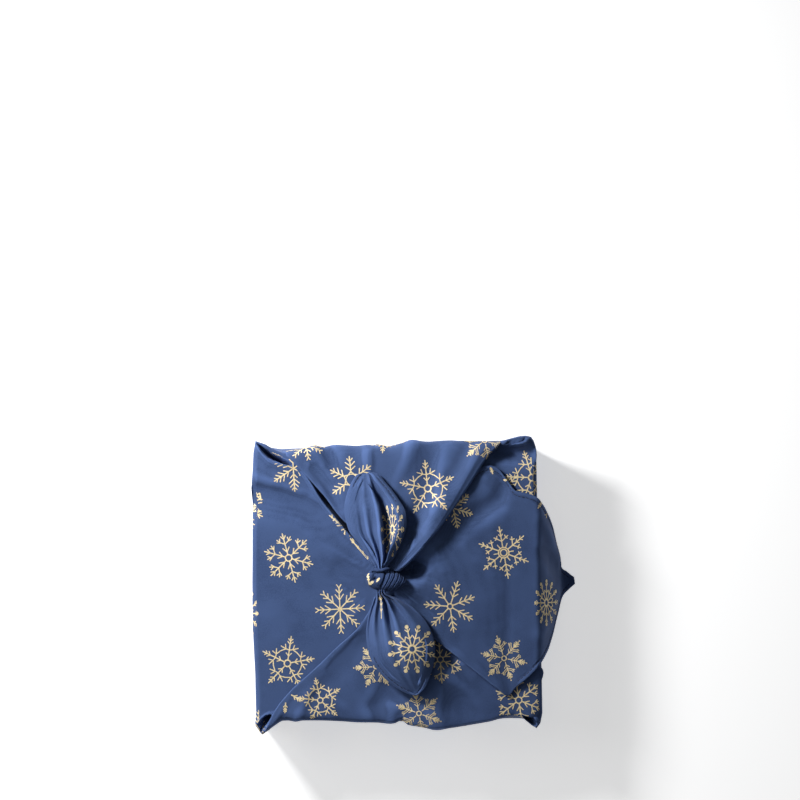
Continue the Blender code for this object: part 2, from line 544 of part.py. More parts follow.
def make_knot_wraps(steps=5, around=18):
    """The part of the knot that is wound across it, with its creases."""
    turn = np.linspace(0.0, 2 * np.pi, around, endpoint=False)
    rings = []
    for along, up, high, deep in smooth_rows(KNOT_RINGS, steps):
        push = -sum(depth * np.exp(-(((along - place) / width) ** 2))
                    for place, depth, width in KNOT_CREASES)
        x = KNOT_X + along * (1 + KNOT_FAN * np.cos(turn))
        x += KNOT_SKEW * high * np.cos(turn) + KNOT_BULGE * np.sin(turn) ** 2
        y = KNOT_Y + up + (high + push) * np.cos(turn)
        z = KNOT_Z + (deep + push) * np.sin(turn)
        rings.append(np.stack([x, y, z], axis=1))
    return closed_tube("knot_wraps", rings)


def make_knot_loop(steps=3, around=12):
    """The loop that the wound part passes through."""
    rows = smooth_rows(KNOT_LOOP, steps)
    path = rows[:, :3] + np.array((KNOT_X, KNOT_Y, KNOT_Z))
    ahead = np.gradient(path, axis=0)
    ahead /= np.linalg.norm(ahead, axis=1)[:, None]
    turn = np.linspace(0.0, 2 * np.pi, around, endpoint=False)
    rings = []
    for point, way, radius in zip(path, ahead, rows[:, 3]):
        out = np.cross(way, (0.0, 0.0, 1.0))
        out /= np.linalg.norm(out)
        up = np.cross(out, way)
        ring = point + radius * (np.cos(turn)[:, None] * out + np.sin(turn)[:, None] * up)
        rings.append(ring)
    return closed_tube("knot_loop", rings)


def make_pocket(pocket):
    """A narrow opening with a pointed start and end, open upwards."""
    rows = smooth_rows(pocket.points, POCKET_STEPS)
    ahead = np.gradient(rows[:, :2], axis=0)
    ahead /= np.linalg.norm(ahead, axis=1)[:, None]
    beside = np.stack([-ahead[:, 1], ahead[:, 0]], axis=1) * rows[:, 2:3]
    floor_z = FACE_Z - pocket.depth
    across = np.stack([rows[:, :2] - beside, rows[:, :2] + beside], axis=1)
    outer = np.dstack([across, np.full(across.shape[:2], POCKET_TOP)])
    narrow = rows[:, None, :2] + POCKET_FLOOR * (across - rows[:, None, :2])
    inner = np.dstack([narrow, np.full(across.shape[:2], floor_z)])
    return closed_layer(pocket.name, outer, inner)


def combine(base, piece, operation):
    """Adds piece to base or cuts it out, and leaves piece as a hidden helper."""
    step = base.modifiers.new(piece.name, "BOOLEAN")
    step.operation = operation
    step.solver = "EXACT"
    step.object = piece
    piece.hide_render = True
    piece.display_type = "WIRE"


def cloth_material():
    material = bpy.data.materials.new("navy_cotton")
    material.use_nodes = True
    shader = material.node_tree.nodes["Principled BSDF"]
    shader.inputs["Base Color"].default_value = NAVY
    shader.inputs["Roughness"].default_value = ROUGHNESS
    shader.inputs["Metallic"].default_value = 0.0
    return material


def main():
    clear_scene()
    wrap = make_base()
    up_face, down_face, rightward = (0.0, 1.0, 0.0), (0.0, -1.0, 0.0), (1.0, 0.0, 0.0)
    wide = graded(PANEL_COLUMNS)
    layers = (
        layer("lower_panel", BOTTOM_PANEL, wide, down_face, BOTTOM_FOLDS, rim=BOTTOM_RIM),
        layer("side_fold", SIDE_FOLD, graded(FOLD_COLUMNS), up_face),
        layer("flap", FLAP, graded(FLAP_COLUMNS), rightward, FLAP_FOLDS, rest_z=FACE_Z - SINK),
        layer("upper_panel", TOP_PANEL, wide, up_face, TOP_FOLDS, rim=TOP_RIM),
        layer("upper_tail", UPPER_TAIL, gather_columns(UPPER_GATHERS), up_face,
              gathers=UPPER_GATHERS, rest_z=FACE_Z),
        layer("lower_tail", LOWER_TAIL, gather_columns(LOWER_GATHERS), down_face,
              gathers=LOWER_GATHERS, rest_z=FACE_Z),
        make_knot_wraps(),
        make_knot_loop(),
    )
    for piece in layers:
        combine(wrap, piece, "UNION")
    for pocket in POCKETS:
        combine(wrap, make_pocket(pocket), "DIFFERENCE")
    wrap.data.materials.append(cloth_material())


main()
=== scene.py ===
"""The knotted wrap of printed cotton as it is photographed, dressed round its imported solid.

The tables are in millimetres, with +X right, +Y up the face and +Z out of it, as in the part's source.
"""

import math
from collections import namedtuple

import bmesh
import bpy
import numpy as np
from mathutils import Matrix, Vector
from mathutils.bvhtree import BVHTree


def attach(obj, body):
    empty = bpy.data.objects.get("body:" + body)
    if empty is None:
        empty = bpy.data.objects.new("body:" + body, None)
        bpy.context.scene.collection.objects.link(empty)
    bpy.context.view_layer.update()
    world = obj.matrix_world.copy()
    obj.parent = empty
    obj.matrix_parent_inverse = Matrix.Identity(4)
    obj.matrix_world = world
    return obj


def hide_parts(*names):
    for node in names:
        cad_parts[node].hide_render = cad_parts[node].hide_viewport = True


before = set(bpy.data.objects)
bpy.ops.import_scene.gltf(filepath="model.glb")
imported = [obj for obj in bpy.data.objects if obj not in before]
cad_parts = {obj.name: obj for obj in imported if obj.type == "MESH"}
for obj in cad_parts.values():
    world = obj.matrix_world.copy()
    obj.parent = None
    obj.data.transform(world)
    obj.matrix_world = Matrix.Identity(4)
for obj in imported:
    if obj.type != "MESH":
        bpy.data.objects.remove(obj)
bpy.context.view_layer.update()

MM = 0.001

BOX_WIDTH = 252.0
BOX_LENGTH = 242.0
FACE_Z = 57.0  # top of the cloth layer that lies on the box
UNDER_ROUND = 3.0  # the cloth turns under the box on this radius
CLOTH = 2.4  # a folded edge of the cloth, as thick as it stands
KNOT_X = -8.5
KNOT_Y = 5.5
KNOT_Z = FACE_Z + 15.0

# A crease: points are (x, y, height), and left and right are its widths beside that line
Fold = namedtuple("Fold", "left right points")

# A cross section of a layer, from its left edge to its right edge. lean turns the outward side from
# +Z towards the layer's own axis, in degrees. arch is how far the middle stands proud, and rim its
# share of the uneven edge of the face.
Section = namedtuple(
    "Section", "left_x left_y left_z right_x right_y right_z lean arch rim", defaults=(0.0,))


def rows_of(kind, *rows):
    return tuple(kind(*row) for row in rows)


# The face's outline as it shows, a row for each bend: x, y
TOP_RIM = (
    (-127, 130), (-118, 127), (-111, 122.8), (-104, 119.8), (-97, 120.8), (-82, 123.4), (-74, 126.6),
    (-54, 126.4), (-42, 125.4), (-31, 123.8), (-24, 123.8), (-18, 127), (-7, 124.6), (8, 128.4),
    (18, 130.2), (34, 131.8), (42, 130.4), (55, 130.4), (63, 132), (70, 130.2), (78, 129), (94, 129.7),
    (103, 132.2), (110, 134), (116, 134.6), (121, 133.6),
)
BOTTOM_RIM = (
    (-121, -134.6), (-111, -127.6), (-103.5, -121.8), (-96.5, -120.4), (-89, -121.7), (-67, -121.8),
    (-40, -122.8), (-16, -123.6), (-6, -125), (0, -124.8), (4.5, -122.4), (9.5, -125.6), (19.5, -126.8),
    (27, -127.4), (34, -128.9), (41, -129.2), (53, -128), (70, -125.1), (84.7, -122.7), (92, -120.4),
    (106.5, -117.8), (113.7, -119.4), (121, -125), (126, -128.7),
)
LEFT_RIM = (
    (-121, -134.6), (-127.3, -126), (-126.5, -112), (-127.3, -80), (-129.3, -40), (-129.8, 4),
    (-129.6, 50), (-129.2, 71), (-130.6, 88), (-129.3, 107), (-128.8, 119), (-127, 130),
)
RIGHT_RIM = (
    (126, -128.7), (129.5, -124), (131.3, -115), (130.6, -69), (128.5, 0), (126.6, 80), (126.2, 98),
    (125.2, 125), (123.6, 130), (121, 133.6),
)
# The straight line that the two panels' edges waver about
RIM_Y = 124.5
# Where a panel covers the rim, so that the cloth below lies one thickness further in: from, to
TOP_COVERED = (-104, 93)
BOTTOM_COVERED = (-114, 116)
COVER_FADE = 6.0

# The side walls between the underside and the face: height, share of the face's outline, inset
WALL_ROWS = (
    (0, 0, UNDER_ROUND),
    (UNDER_ROUND, 0, 0),
    (0.30 * FACE_Z, 0.12, -0.3),
    (0.60 * FACE_Z, 0.45, -0.3),
    (0.82 * FACE_Z, 0.85, 0),
    (FACE_Z - 3.6, 1, 0),
    (FACE_Z - 1.1, 1, 1.1),
)
RIM_INSET = 3.8

BASE_FOLDS = rows_of(
    Fold,
    (7, 18, ((-131, 88, -4.6), (-105, 82, -4.4), (-84, 75, -4), (-66, 66, -2.4))),
    (7, 9, ((-131, 98, 1.8), (-112, 92, 1.6), (-90, 84, 0.6))),
    (6, 8, ((-127, 115, -1.2), (-110, 103, -1.6), (-88, 92, -0.5))),
    (5, 9, ((-124, 126, 1.6), (-113, 112, 2.2), (-98, 104, 0.8))),
    (12, 14, ((-48, 14, -1.8), (-24, -6, -2.4))),
    (16, 16, ((-110, -30, 0.7), (-92, -62, 0.5))),
    (5, 9, ((98, 131, 3.6), (112, 131, 4.6), (121, 129, 3))),
    (8, 8, ((93, 121, -5), (104, 120, -8), (120, 119, -8))),
)

# The upper panel, from the foot of the far side wall over the edge to the knot
TOP_PANEL = rows_of(
    Section,
    (-122, 123.2, 1.4, 120, 123.2, 1.4, 90, 0.4, 0.3),
    (-117, 123.8, 20, 113, 123.8, 20, 90, 0.4, 0.5),
    (-109, 124.2, 38, 103, 124.2, 38, 90, 0.4, 0.8),
    (-102, 124.6, 51, 96, 124.6, 51, 88, 0.3, 0.97),
    (-100, 123.4, 57, 93.5, 123.4, 57.6, 62, 0.2, 1),
    (-98.5, 119.8, 59.6, 91, 119.8, 61.4, 22, 0.2, 1),
    (-93, 112, 60.2, 83, 114, 63.4, 0, 0.4, 0.4),
    (-80, 97, 60.4, 71.5, 98, 65.2, 0, 0.2),
    (-65, 80, 60.8, 60, 80, 68, 0, 0.2),
    (-51.5, 62, 61.8, 47, 61, 71.2, 0, 0.2),
    (-35.5, 46, 63.6, 33.5, 44, 74.4, 0, 0.2),
    (-23.5, 29, 66, 17, 27, 76.8, 0, 0.2),
    (-15.5, 15, 68.5, 2, 13, 77.2, 0, 0.2),
)
TOP_FOLDS = rows_of(
    Fold,
    (2.4, 9, ((-25, 178, 1.4), (-25, 126, 2.6), (-24, 112, 2.4), (-24, 101, 0.8))),
    (6, 6, ((-66, 170, -1), (-65, 124, -2.2), (-58, 110, -2.4), (-52, 101, -0.6))),
    (6, 5, ((-74, 104, -1.6), (-62, 89, -2.8), (-53, 73, -1.4))),
    (7, 12, ((30, 180, -1), (33, 122, -2.4), (27, 82, -4.6), (23, 64, -6), (17, 47, -5))),
    (6, 7, ((12, 178, 1.2), (14, 126, 1.9), (8, 112, 1.2), (-3, 90, 0.6))),
    (6, 8, ((66, 176, -1), (63, 120, -2.2), (57, 105, -2.6), (47, 88, -2.4), (44, 80, -1))),
    (12, 9, ((79, 126, 1.6), (61, 103, 3), (42, 77, 3.8), (21, 49, 3.4))),
    (7, 6, ((-60, 60, 0.5), (-38, 34, 1.5), (-22, 20, 1.5))),
)

# The narrow fold that shows beside the upper panel's left edge
SIDE_FOLD = rows_of(
    Section,
    (-91, 105, 57.6, -82, 106, 58.4, 0, 0.3),
    (-82.5, 93, 58.8, -70, 96, 59.2, 0, 0.6),
    (-72, 76, 59.4, -60, 80, 59.6, 0, 0.9),
    (-61, 61.5, 60, -48, 66, 60.2, 0, 1),
    (-48, 46, 61, -36, 50, 61, 0, 1),
    (-33, 30, 62.8, -24, 33, 62.8, 0, 0.8),
    (-21, 17.5, 65, -14, 19, 65, 0, 0.5),
)

# The lower panel, from the foot of the near side wall over the edge to the knot
BOTTOM_PANEL = rows_of(
    Section,
    (-122, -123.2, 1.4, 122, -123.2, 1.4, 90, 0.4, 0.3),
    (-121.5, -123.8, 20, 119, -123.8, 20, 90, 0.4, 0.5),
    (-121, -124.2, 38, 116, -124.2, 38, 90, 0.4, 0.8),
    (-120.4, -124.6, 51, 114, -124.6, 51, 88, 0.3, 0.97),
    (-119.8, -123.4, 57, 114, -123.4, 57.2, 62, 0.2, 1),
    (-116.6, -119.8, 59.4, 116, -121.5, 58.8, 22, 0.2, 1),
    (-108, -110, 59.8, 129.6, -112, 58.6, 0, 0.6, 0.4),
    (-91.5, -91, 59.9, 130.4, -90, 58.6, 0, 0.5),
    (-73, -74.5, 60, 130, -73, 58.8, 0, 0.5),
    (-53.5, -55.5, 60.4, 95, -56, 60, 0, 0.6),
    (-36.5, -40, 61.6, 52, -40, 61, 0, 0.6),
    (-26, -25, 64, 24, -25, 63, 0, 0.4),
    (-18, -9, 67, 2, -9, 67, 0, 0.2),
)
BOTTOM_FOLDS = rows_of(
    Fold,
    (7, 4, ((-113, -124, 1.4), (-94, -93, 1.8), (-64, -66, 1.6), (-36, -38, 2))),
    (5, 9, ((-66, -78, 0.6), (-80, -98, 1.6), (-92, -126, 1.8), (-96, -160, 0.8))),
    (10, 12, ((-30, -52, -1.6), (-58, -84, -1.4), (-82, -104, -0.6))),
    (7, 7, ((-10, -92, -1), (-17, -108, -2.2), (-12, -126, -1))),
    (7, 9, ((-2, -90, -1.6), (2, -100, -2.4), (8, -112, -1.4))),
    (4, 7, ((4, -110, 1), (5, -124, -1.6), (5, -150, -1.4), (4, -178, -0.6))),
    (9, 9, ((33, -92, 1.2), (34, -128, 1.6), (36, -172, 1.2))),
    (10, 12, ((43, -89, -1), (54, -102, -1.5), (64, -114, -0.6))),
    (14, 20, ((14, -108, 1), (34, -90, 4.4), (46, -77, 5))),
    (9, 8, ((30, -53, -5), (47, -67, -4.6), (60, -78, -2.4), (68, -85, -0.6))),
    (7, 6, ((108, -118, -0.8), (110, -150, -1), (116, -176, -0.4))),
)

# The corner flap, from the knot over the right edge to its hanging tip
FLAP = rows_of(
    Section,
    (-2, -8, 66.5, -2, 12, 66.5, 0, 0.4),
    (16, -34.5, 63.6, 16, 30, 64.4, 0, 0.6),
    (38, -51.5, 64.6, 38, 58, 62.2, 0, 0.5),
    (60, -69, 65, 60, 88, 60.6, 0, 0.4),
    (77, -82.5, 64.4, 76, 106, 60.2, 0, 0.2),
    (90, -92.5, 63.4, 90, 106, 60, 0, 0),
    (100, -99.5, 61.4, 100, 94.5, 60, 0, 0),
    (107, -92, 61.4, 107, 85.5, 60, 0, 0),
    (118, -83, 61.4, 118, 82.6, 60, 4, 0),
    (127, -73.5, 60.6, 126.5, 79, 59.4, 22, 0.2),
    (131.6, -67, 55.5, 130.5, 74.5, 55.5, 52, 0.8),
    (136.5, -57.5, 44, 135.5, 66.5, 44.5, 66, 1.6),
    (141.5, -43, 31, 140.5, 54, 31, 68, 1.8),
    (146, -26, 18.5, 145, 35, 18.5, 68, 1.4),
    (150, -12, 7.6, 148.6, 17, 8.2, 50, 0.8),
    (156, -5, 3.8, 154, 11.5, 5.2, 10, 0.6),
    (161.7, 0, 3.6, 160.8, 6.5, 5, 6, 0.3),
)
FLAP_FOLDS = rows_of(
    Fold,
    (7, 8, ((66, 99, -1), (69, 88, -1.6), (72, 78, -0.4))),
    (7, 9, ((99, 92, -1.6), (92, 78, -3), (82, 70, -3), (68, 60, -2.4), (40, 34, -1))),
    (5, 5, ((50, -61, 1.8), (72, -78, 2.2), (96, -97, 1.8))),
    (8, 8, ((133, 62, 1.2), (160, 40, 2.4), (190, 22, 1.6))),
    (8, 10, ((136, 30, -1.4), (160, 22, -2.4), (186, 12, -0.8))),
    (8, 8, ((132, -44, 1), (156, -26, 1.8), (182, -8, 1))),
    (12, 16, (
        (4, 18, 0), (12, 31, 2.5), (29, 48, 5.8), (42, 65, 5.6), (55, 84, 4.4), (67, 101, 1.3),
    )),
    (9, 8, ((6, 17, -18), (15, 15.5, -17), (22, 14, -10), (28, 12.5, -2))),
)

# A gather of a tail: share is where it lies between the tail's two edges, width is in the same share,
# and heights are its heights at the GATHER_STEPS of the way from the knot to the tip
Gather = namedtuple("Gather", "share width heights")
GATHER_STEPS = (0, 0.12, 0.25, 0.4, 0.6, 1)

UPPER_TAIL = rows_of(
    Section,
    (-18.5, 11, 75, -8, 11, 76, 0, 2),
    (-20.6, 18, 73, -7, 18, 77, 0, 3),
    (-25.8, 25, 71, -1.4, 25, 77, 0, 4.6),
    (-33, 35, 70, 3.2, 35, 77.6, 0, 6),
    (-42, 46, 68.8, 7.6, 46, 77.2, 0, 6.2),
    (-46, 56, 67.6, 9.6, 56, 76.2, 0, 6),
    (-48, 69, 66.2, 8, 68, 75, 0, 5.6),
    (-46.5, 79, 65.2, 1.8, 78.5, 70.8, 0, 5.2),
    (-43.5, 88, 64.6, -4.5, 87, 69, 0, 4.6),
    (-40, 94.5, 64.6, -10.8, 94.5, 67, 0, 2.8),
    (-36.6, 98.8, 64.8, -15.5, 99.6, 65.8, 0, 1.4),
    (-34.5, 100.2, 64.6, -20, 101.6, 64.8, 0, 0.6),
)
UPPER_GATHERS = rows_of(
    Gather,
    (0.10, 0.06, (0.4, 0.6, 0.6, 0.4, 0.3, 0)),
    (0.27, 0.05, (-1.4, -2.2, -2.6, -2.2, -0.6, 0)),
    (0.35, 0.05, (0.8, 1.2, 1.4, 1.2, 0.4, 0)),
    (0.43, 0.045, (-1.4, -2.4, -2.4, -1.4, -0.2, 0)),
    (0.55, 0.05, (0.8, 1.8, 2.6, 2.8, 2.2, 0.2)),
    (0.86, 0.10, (0.6, 1.2, 1.6, 1.6, 1.2, 0.2)),
)

LOWER_TAIL = rows_of(
    Section,
    (-9, 0, 74, -18, 0, 74, 0, 2),
    (-8, -7, 73, -18.6, -7, 72, 0, 3.4),
    (3, -12, 72.5, -20.5, -14, 69.5, 0, 5),
    (13, -18, 71.8, -24, -23, 67, 0, 6.8),
    (22, -26, 71.4, -26.6, -32, 65.2, 0, 8.6),
    (29.5, -36, 71.4, -27.8, -43, 64.4, 0, 10.4),
    (34.2, -48, 71.6, -26.6, -56, 64.4, 0, 11.4),
    (35.2, -62, 71.6, -22.5, -69, 65.2, 0, 10.4),
    (33, -74, 71.6, -13.5, -81, 66.4, 0, 7.2),
    (29.5, -84, 71.4, -2, -91, 67.2, 0, 3.6),
    (25.5, -92, 71, 9, -97, 67.6, 0, 0.8),
    (20.5, -97.5, 70, 15.5, -99, 68.6, 0, 0.2),
)
LOWER_GATHERS = rows_of(
    Gather,
    (0.05, 0.04, (-1.2, -1.4, -0.6, 0, 0, 0)),
    (0.20, 0.08, (1, 2, 2.4, 1.2, 0.3, 0)),
    (0.35, 0.07, (-2, -3.6, -3, -0.8, 0, 0)),
    (0.49, 0.04, (1, 1.4, 1.6, 1, 0.2, 0)),
    (0.58, 0.05, (-1.4, -2.4, -3, -2.6, -0.6, 0)),
    (0.69, 0.05, (0.6, 1.2, 1.4, 1.2, 0.3, 0)),
    (0.78, 0.045, (-1, -1.6, -1.8, -1.6, -0.4, 0)),
    (0.87, 0.045, (0.6, 1, 1.2, 1, 0.3, 0)),
    (0.94, 0.035, (-0.8, -1.2, -1.6, -1.4, -0.3, 0)),
)

# The knot's wound part, from its left end to its right end: along, up the face, half height and
# half depth of each ring, from the knot's middle
KNOT_RINGS = (
    (-17.4, 1.2, 2.4, 3), (-15.2, 1.2, 6, 6.8), (-11.6, 0.8, 8.2, 9.2), (-6.4, 0.2, 9.2, 10.4),
    (-0.5, -1, 9.8, 11), (4.7, -2.3, 9, 11), (9.4, -4.2, 7.4, 9.4), (12.6, -4.8, 5, 6.6),
    (14.4, -4.6, 1.4, 2.2),
)
KNOT_SKEW = 0.42  # how far each ring slants to the right at its top, as a share of its half height
KNOT_BULGE = 2.4  # how far each ring bends to the right in front
KNOT_FAN = 0.22  # how much further apart the rings lie at the top than in front
# Its creases, which run down to the left: along, depth, width
KNOT_CREASES = (
    (-4.6, 1.8, 0.9), (-2.9, 0.5, 0.5), (-1.2, 1, 0.6), (0.6, 0.5, 0.5), (2.4, 1.2, 0.7), (4.1, 0.5, 0.5),
    (5.7, 1, 0.6), (7.4, 0.6, 0.5), (9, 1.1, 0.7), (11, 0.7, 0.6),
)
# The smooth loop at its left end, round the small pit: x, y, z from the knot's middle, and radius
KNOT_LOOP = (
    (4, 7, -3, 2.8), (-2.5, 7.2, 1.6, 3.3), (-8.5, 6.4, 2.8, 3.9), (-12.9, 4.4, 3, 4.4),
    (-14, -0.2, 2.6, 4.6), (-11, -4, 2.4, 4.7), (-5.6, -6.2, 1, 4.2), (-1, -6.6, -5, 3),
)
# The lip of cloth along the knot's upper rim, in the same columns
KNOT_COLLAR = (
    (-15, 5.6, 5, 0.6), (-13, 8, 6.6, 1.3), (-9.5, 8.3, 7.6, 1.5), (-5.5, 8.3, 8.2, 1.5),
    (-1.5, 9.4, 8.2, 1.4), (2.5, 10, 6.8, 0.7),
)
KNOT_PIT = (-10.4, 0.8, 2.6, 1.5)  # the pit's place along and up the face, its depth and its width

# Openings behind the folded corners, a line of points through each: x, y, half width, depth
POCKETS = (
    (
        (-125.5, 128, 0.4, 9), (-118.5, 120.9, 1.8, 28), (-111.5, 115.8, 2.3, 34), (-102, 111.4, 1.4, 34),
        (-95, 108.4, 0.2, 30),
    ),
    ((96.5, 128.2, 0.2, 11), (103, 129, 1.1, 11), (110, 129.9, 1.3, 11), (116.5, 130.8, 0.3, 10)),
    (
        (-113.6, -117.8, 0.8, 32), (-116.6, -120.2, 2.2, 30), (-119.6, -123.6, 2.8, 20),
        (-121.2, -127.6, 1.9, 12), (-121.6, -131, 0.8, 8),
    ),
    (
        (113.5, -118.6, 1.2, 32), (117.5, -120.2, 2.4, 30), (120.8, -121.8, 3, 22),
        (123.6, -124.4, 2, 14), (124.8, -126.4, 0.8, 10),
    ),
)
POCKET_LIP = 0.7  # how high the cloth stands up round an opening

# Sizes of the thin cloth that dresses the solid
THREAD = 0.45  # thickness of the single cloth
HEM = 4.2  # from a hem's edge to its stitches
HEM_PROUD = 0.45  # how far a hem's double cloth stands above the single cloth
HEM_DIP = 0.55  # how deep its stitches pull it in
GATHER_DEPTH = 1.35  # how much deeper the thin cloth's gathers are than the solid's
FLOOR_GAP = 0.5  # how far the underside stands off the floor
CREASE_REACH = 46.0  # how far the fine creases run out from the knot
CREASE_HIGH = 0.5
WEAR_AND_HIGHLIGHT_REACH = 3  # how many points away a crease's height is compared with
FACE_STEPS = 140  # points along each side of the face
FLAP_RISE = 16.0  # how far the flap stands up beside the knot
FLAP_RISE_FROM = 28.0  # how far from the knot it starts to sink
FLAP_RISE_FADE = 32.0  # over what length it sinks


def smooth(low, high, value):
    t = np.clip((value - low) / (high - low), 0.0, 1.0)
    return t * t * (3 - 2 * t)


def noise(x, y, size, seed):
    """Smooth values from -1 to 1 that change over about size millimetres."""
    values = np.random.default_rng(seed).uniform(-1, 1, (64, 64))
    u, v = np.asarray(x) / size + 500, np.asarray(y) / size + 500
    i, j = np.floor(u).astype(int), np.floor(v).astype(int)
    s, t = smooth(0, 1, u - i), smooth(0, 1, v - j)

    def at(di, dj):
        return values[(i + di) % 64, (j + dj) % 64]

    low = at(0, 0) * (1 - s) + at(1, 0) * s
    high = at(0, 1) * (1 - s) + at(1, 1) * s
    return low * (1 - t) + high * t


def nearest_on(x, y, x0, y0, x1, y1):
    """The share of a stretch at which it passes nearest to x, y, and how far off that is."""
    run_x, run_y = x1 - x0, y1 - y0
    share = ((x - x0) * run_x + (y - y0) * run_y) / (run_x**2 + run_y**2)
    share = np.clip(share, 0.0, 1.0)
    return share, np.hypot(x - x0 - share * run_x, y - y0 - share * run_y)


def fold_height(fold, x, y):
    """How far one crease lifts or sinks the cloth at x, y."""
    nearest = np.full(np.shape(x), np.inf)
    height = np.zeros(np.shape(x))
    for (x0, y0, h0), (x1, y1, h1) in zip(fold.points, fold.points[1:]):
        share, distance = nearest_on(x, y, x0, y0, x1, y1)
        on_left = (x1 - x0) * (y - y0) - (y1 - y0) * (x - x0) > 0
        width = np.where(on_left, fold.left, fold.right)
        lift = (h0 + share * (h1 - h0)) * np.exp(-((distance / width) ** 2))
        height = np.where(distance < nearest, lift, height)
        nearest = np.minimum(distance, nearest)
    return height


def relief(folds, x, y):
    return sum((fold_height(fold, x, y) for fold in folds), np.zeros(np.shape(x)))


def smooth_rows(rows, steps):
    """The rows with steps spans between each two, on a curve through them all."""
    table = np.array(rows, float)
    before = np.vstack([2 * table[0] - table[1], table[:-1]])[:-1]
    after = np.vstack([table[1:], 2 * table[-1] - table[-2]])[1:]
    shares = np.linspace(0.0, 1.0, steps, endpoint=False)
    made = []
    for p0, p1, p2, p3 in zip(before, table[:-1], table[1:], after):
        for t in shares:
            made.append(0.5 * (2 * p1 + (p2 - p0) * t + (2 * p0 - 5 * p1 + 4 * p2 - p3) * t**2
                               + (3 * p1 - p0 - 3 * p2 + p3) * t**3))
    made.append(table[-1])
    return np.array(made)


def graded(count):
    """Shares from 0 to 1 that lie closer together near both ends."""
    even = np.linspace(0.0, 1.0, count)
    return even - 0.075 * np.sin(2 * np.pi * even)


def circle(count):
    """Angles that go once round."""
    return np.linspace(0.0, 2 * np.pi, count, endpoint=False)


def put(name, data):
    """A new object in the scene."""
    made = bpy.data.objects.new(name, data)
    bpy.context.scene.collection.objects.link(made)
    return made


def unit(vectors):
    return vectors / np.maximum(np.linalg.norm(vectors, axis=-1, keepdims=True), 1e-9)


def normals_of(grid):
    """Unit normals of a grid of points, by its two directions."""
    return unit(np.cross(np.gradient(grid, axis=1), np.gradient(grid, axis=0)))


def quads(rows, columns, keep=None, round_it=False):
    """The faces of a grid of points, all or only the kept ones, closed round where asked."""
    faces = []
    for i in range(rows - 1):
        for j in range(columns if round_it else columns - 1):
            k = (j + 1) % columns
            if keep is None or keep[i, j]:
                a, b = i * columns, (i + 1) * columns
                faces.append((a + j, a + k, b + k, b + j))
    return faces


class Piece:
    """A piece of cloth as one mesh, with the tree that prints and stitches are laid on."""

    def __init__(self, name, points, faces, wear_and_highlight=None):
        points = np.asarray(points, float).reshape(-1, 3)
        used = np.unique(np.array([i for face in faces for i in face]))
        index = np.full(len(points), -1)
        index[used] = np.arange(len(used))
        points = points[used]
        faces = [tuple(int(index[i]) for i in face) for face in faces]
        mesh = bpy.data.meshes.new(name)
        mesh.from_pydata([tuple(p * MM) for p in points], [], faces)
        mesh.polygons.foreach_set("use_smooth", [True] * len(mesh.polygons))
        # Each point's ridge height: the cotton paints it paler, partly as wear and partly as a painted
        # highlight on the crease tops.
        shade = mesh.attributes.new("wear_and_highlight", "FLOAT", "POINT")
        values = np.zeros(len(used)) if wear_and_highlight is None else np.asarray(wear_and_highlight, float).ravel()[used]
        shade.data.foreach_set("value", values.astype(np.float32))
        mesh.update()
        self.object = put(name, mesh)
        self.tree = BVHTree.FromPolygons([tuple(p) for p in points], faces)

    def solidify(self):
        step = self.object.modifiers.new("cloth_thickness", "SOLIDIFY")
        step.thickness = THREAD * MM
        step.offset = -1.0


def rim_shift(rim, x):
    """How far the rim lies from its straight line at x."""
    table = np.array(rim)
    return np.interp(x, table[:, 0], table[:, 1]) - RIM_Y * np.sign(table[0, 1])


def gather_lift(gathers, across, progress):
    lift = np.zeros(np.broadcast(across, progress).shape)
    for gather in gathers:
        height = np.interp(progress, GATHER_STEPS, gather.heights)
        lift += GATHER_DEPTH * height * np.exp(-(((across - gather.share) / gather.width) ** 2))
    return lift


def pull_creases(x, y, seed):
    """Fine creases that run out from the knot and fade."""
    away = np.hypot(x - KNOT_X, y - KNOT_Y)
    angle = np.arctan2(y - KNOT_Y, x - KNOT_X)
    sharp = noise(angle * 100, away * 0.10, 5.5, seed) + 0.5 * noise(angle * 100, away * 0.1, 2.6, seed + 1)
    return CREASE_HIGH * sharp * np.exp(-((away / CREASE_REACH) ** 2)) * smooth(8, 22, away)


Drape = namedtuple("Drape", "grid outward left right width progress hems")


def ridge_wear_and_highlight(grid, outward):
    """How far each point of a grid stands above the points round it, as the part of a crease that wears
    does; the cotton paints these ridges paler, partly as wear and partly as a painted highlight.
    """
    reach = WEAR_AND_HIGHLIGHT_REACH
    around = np.zeros_like(grid)
    padded = np.pad(grid, ((reach, reach), (reach, reach), (0, 0)), mode="edge")
    rows, columns = grid.shape[:2]
    for down, over in ((0, reach), (2 * reach, reach), (reach, 0), (reach, 2 * reach)):
        around += padded[down:down + rows, over:over + columns] / 4
    proud = ((grid - around) * outward).sum(-1)
    proud[:reach] = proud[-reach:] = 0
    return proud


